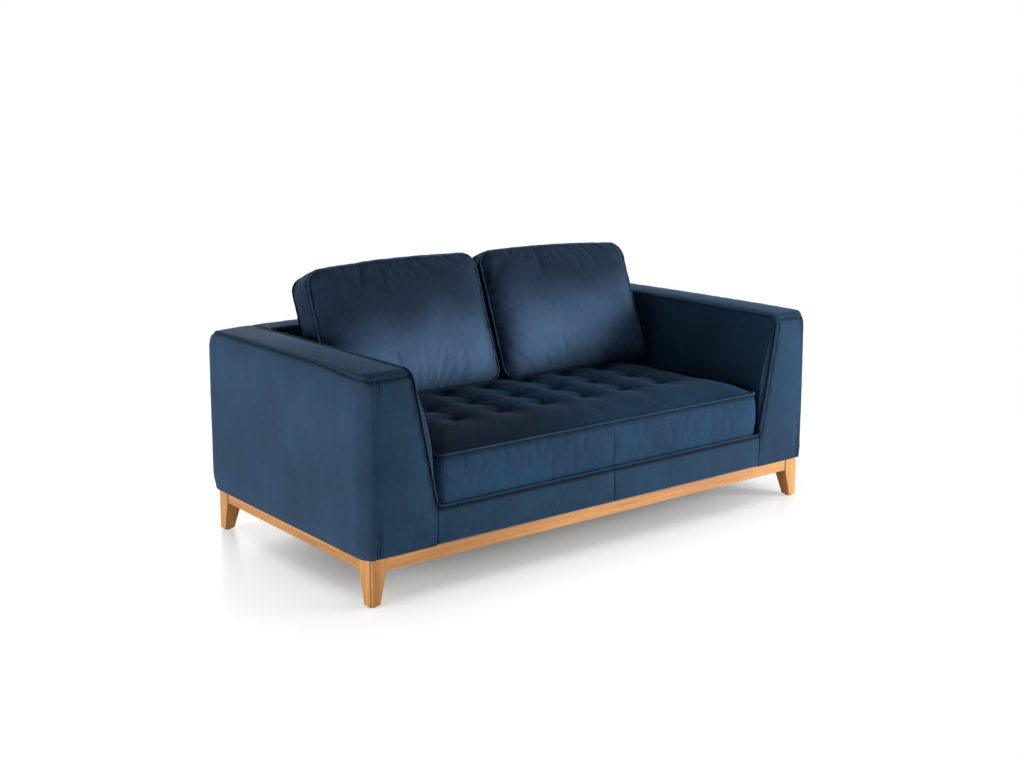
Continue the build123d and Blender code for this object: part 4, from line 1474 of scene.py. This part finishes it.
@dataclass
class Studio:
    """The pale floor, the soft lamps and the camera."""

    lens: float = 1377.7 / 1020.0 * 36.0
    yaw: float = -38.15
    pitch: float = 8.66
    stand: Tuple[float, float, float] = (-2.81, -3.524, 1.407)
    shift: float = -0.078
    ambient: float = 0.23
    overhead: float = 0.04
    floor_white: float = 0.52
    floor_shade: float = 0.46
    far_white: float = 0.48

    def camera(self) -> None:
        """Sets up the camera at the photograph's viewing angle."""
        data = bpy.data.cameras.new("camera")
        data.lens, data.sensor_width, data.shift_y = self.lens, 36.0, self.shift
        data.clip_end = 200.0
        made = bpy.data.objects.new("camera", data)
        yaw, pitch = math.radians(self.yaw), math.radians(self.pitch)
        ahead = Vector((-math.sin(yaw) * math.cos(pitch), math.cos(yaw) * math.cos(pitch), -math.sin(pitch)))
        made.location = self.stand
        made.rotation_euler = ahead.to_track_quat("-Z", "Y").to_euler()
        bpy.context.scene.collection.objects.link(made)
        bpy.context.scene.camera = made

    def floor(self) -> bpy.types.Object:
        """Lays a plain pale floor that shows white, keeps the shadow and adds painted shadow under the sofa.

        Returns:
            The floor.
        """
        form = Form()
        bmesh.ops.create_grid(form.mesh, x_segments=2, y_segments=2, size=40.0)
        made = form.piece("studio_floor")
        stuff = bpy.data.materials.new("pale_floor")
        stuff.use_nodes = True
        sheet = NodeSheet(stuff.node_tree)
        ground = sheet.add(
            "ShaderNodeBsdfPrincipled", None,
            {"Base Color": (0.86, 0.86, 0.86, 1.0), "Roughness": 0.30, "Specular IOR Level": 0.25},
        )
        white = sheet.add("ShaderNodeEmission", None, {"Color": (1.0, 1.0, 1.0, 1.0), "Strength": 1.0})
        seen = sheet.add("ShaderNodeLightPath", output="Is Camera Ray")
        away = sheet.add("ShaderNodeVectorMath", {"operation": "LENGTH"}, {0: sheet.place()}, "Value")
        across = sheet.add("ShaderNodeSeparateXYZ", None, {"Vector": sheet.place()}, "X")
        along = sheet.add("ShaderNodeSeparateXYZ", None, {"Vector": sheet.place()}, "Y")
        across, along = across.math("ABSOLUTE", across), along.math("ABSOLUTE", along)
        # Less white under the sofa, in a soft rectangle: the lamp's shadow shows darker there, and the
        # rectangle paints part of the contact shadow.
        under = (1.0 - across.smooth(0.72, 0.98)) * (1.0 - along.smooth(0.20, 0.56))
        pale = self.floor_white - under * self.floor_shade + away.smooth(1.2, 3.0) * self.far_white
        both = sheet.add("ShaderNodeMixShader", None, {0: seen * pale, 1: ground, 2: white})
        sheet.add("ShaderNodeOutputMaterial", None, {"Surface": both})
        made.data.materials.append(stuff)
        return made

    def world(self) -> None:
        """Gives a white background and an even ambient light."""
        world = bpy.data.worlds.new("studio")
        world.use_nodes = True
        bpy.context.scene.world = world
        sheet = NodeSheet(world.node_tree)
        seen = sheet.add("ShaderNodeLightPath", output="Is Camera Ray")
        mirrored = sheet.add("ShaderNodeLightPath", output="Is Glossy Ray")
        through = sheet.add("ShaderNodeLightPath", output="Is Transmission Ray")
        shown = seen.math("MAXIMUM", seen, mirrored.math("MAXIMUM", mirrored, through))
        way = sheet.add("ShaderNodeTexCoord", output="Generated")
        height = sheet.add("ShaderNodeSeparateXYZ", None, {"Vector": way}, "Z")
        even = self.ambient - height.smooth(0.05, 0.75) * (self.ambient - self.overhead)
        sky = sheet.add(
            "ShaderNodeBackground", None,
            {"Color": (1.0, 1.0, 1.0, 1.0), "Strength": shown + (1.0 - shown) * even},
        )
        sheet.add("ShaderNodeOutputWorld", None, {"Surface": sky})

    def lamp(
        self, name: str, place: Sequence[float], aim: Sequence[float], size: Tuple[float, float], watts: float
    ) -> bpy.types.Object:
        """Hangs one soft lamp.

        Args:
            name: the lamp's name.
            place: where it hangs.
            aim: the point that it faces.
            size: its width and height.
            watts: its power.

        Returns:
            The lamp.
        """
        data = bpy.data.lights.new(name, "AREA")
        data.shape, data.size, data.size_y, data.energy = "RECTANGLE", size[0], size[1], watts
        made = bpy.data.objects.new(name, data)
        made.location = place
        made.rotation_euler = (Vector(aim) - Vector(place)).to_track_quat("-Z", "Y").to_euler()
        bpy.context.scene.collection.objects.link(made)
        return made

    def build(self) -> None:
        """Sets up the whole studio."""
        self.camera()
        ground = self.floor()
        self.world()
        self.lamp("overhead", (0.6, 0.2, 3.8), (0.3, 0.0, 0.0), (3.0, 3.0), 6.0)
        self.lamp("front_right", (2.9, -3.0, 0.82), (0.4, 0.0, 0.5), (2.2, 1.3), 225.0)
        self.lamp("left", (-3.8, 0.0, 0.70), (-0.6, 0.0, 0.4), (2.4, 1.2), 94.0)
        self.lamp("rear", (0.6, 3.6, 1.0), (0.0, 0.4, 0.4), (2.4, 1.2), 36.0)
        wash = self.lamp("floor_wash", (0.0, 0.0, 4.0), (0.0, 0.0, 0.0), (5.0, 4.0), 225.0)
        lit = bpy.data.collections.new("washed_floor")
        lit.objects.link(ground)
        wash.light_linking.receiver_collection = lit


SEAT_TOP = 0.4320
NOISE_SEED = 7


def seat_cushion() -> BoxCushion:
    """The bench seat cushion with its blind tufts."""
    columns = [(index - 3.5) * 0.1714 for index in range(8)]
    rows = [-0.226, -0.0774, 0.0712]

    def settle(point: Vector) -> Vector:
        """Keeps the seat under the back cushions that rest on it."""
        if point.y > 0.03:
            point.z = min(point.z, SEAT_TOP)
        return point

    def shade(x: float, y: float, z: float) -> float:
        """How much shade is painted on the top: most at its left end."""
        if z < 0.0714:
            return 0.0
        return 0.96 * ease((0.10 - x) / 0.45) * (0.88 + 0.35 * noise.noise(Vector((x * 5.0, y * 5.0, 2.0))))

    return BoxCushion(
        name="seat_cushion_padded", body="seat_cushion", node="seat_cushion_cover",
        low=(-0.6625, -0.462), high=(0.6625, 0.3072), boxing=0.143, crowns=(0.0, 0.035), corner=0.034,
        draw_in=0.002, belly=0.003, gather=0.0012, shade=shade,
        place=Matrix.Translation((0.0, 0.0, 0.3238)), pitch=0.010, welts={"seat_cushion_welt": 0.0715},
        finish=SEAT_VELVET, tufts=[(column, row) for row in rows for column in columns],
        rests=True, settle=settle, middle_seam=True,
    )


def back_cushion(side: int, tub: Tub) -> BoxCushion:
    """One of the two back cushions.

    Args:
        side: -1 for the left one, 1 for the right one.
        tub: the tub that it leans in.

    Returns:
        The cushion.
    """
    word = "left" if side < 0 else "right"
    tilt = math.radians(21.0)
    place = Matrix.Translation((side * 0.340, 0.1334, 0.4172)) @ Matrix.Rotation(math.pi / 2 - tilt, 4, "X")

    def settle(point: Vector) -> Vector:
        """Rests the cushion on the seat and against the back."""
        point.z = max(point.z, SEAT_TOP + 0.0015)
        if point.z < tub.top + 0.01:
            point.y = min(point.y, tub.back_face(min(point.z, tub.top)) - 0.009)
        return point

    def highlight_amount(x: float, y: float, z: float) -> float:
        """How much painted highlight the front gets: most on its lower middle."""
        if z < 0.049:
            return 0.0
        reach = 0.310 if side < 0 else 0.350
        wander = 0.05 * noise.noise(Vector((x * 6.0, y * 6.0, 4.0 * side)))
        return ease((reach + wander - y) / 0.22) * ease((y + 0.03) / 0.12) * ease((0.345 - abs(x)) / 0.10)

    return BoxCushion(
        name=f"back_cushion_{word}_padded", body=f"back_cushion_{word}", node=f"back_cushion_cover_{word}",
        low=(-0.332, 0.0), high=(0.332, 0.452), boxing=0.100, crowns=(0.062, 0.046), corner=0.054,
        draw_in=0.003, swell_out=0.012, sag=0.014 * side, place=place, pitch=0.009, heel=0.0384,
        settle=settle, highlight_amount=highlight_amount,
        welts={f"back_cushion_front_welt_{word}": 0.05, f"back_cushion_rear_welt_{word}": -0.05},
        finish=BACK_VELVET, cord=0.0039, waver=0.0024,
    )


def main() -> None:
    """Builds the sofa and its studio in order."""
    logging.basicConfig(level=logging.INFO, format="%(name)s: %(message)s")
    bpy.context.scene.view_settings.view_transform = "Standard"
    noise.seed_set(NOISE_SEED)
    tub = Tub()
    tub.build()
    cushions = [seat_cushion(), back_cushion(-1, tub), back_cushion(1, tub)]
    covers = [cushion.build() for cushion in cushions]
    swell(covers, [Swelling(spare=0.008, bending=1.5), Swelling(spare=0.03), Swelling(spare=0.03)])
    for cushion, cover in zip(cushions, covers):
        cushion.soften(cover)
        cushion.sew_welts()
    LegFrame().build()
    HiddenFrame().build()
    Studio().build()


if __name__ == "__main__":
    main()
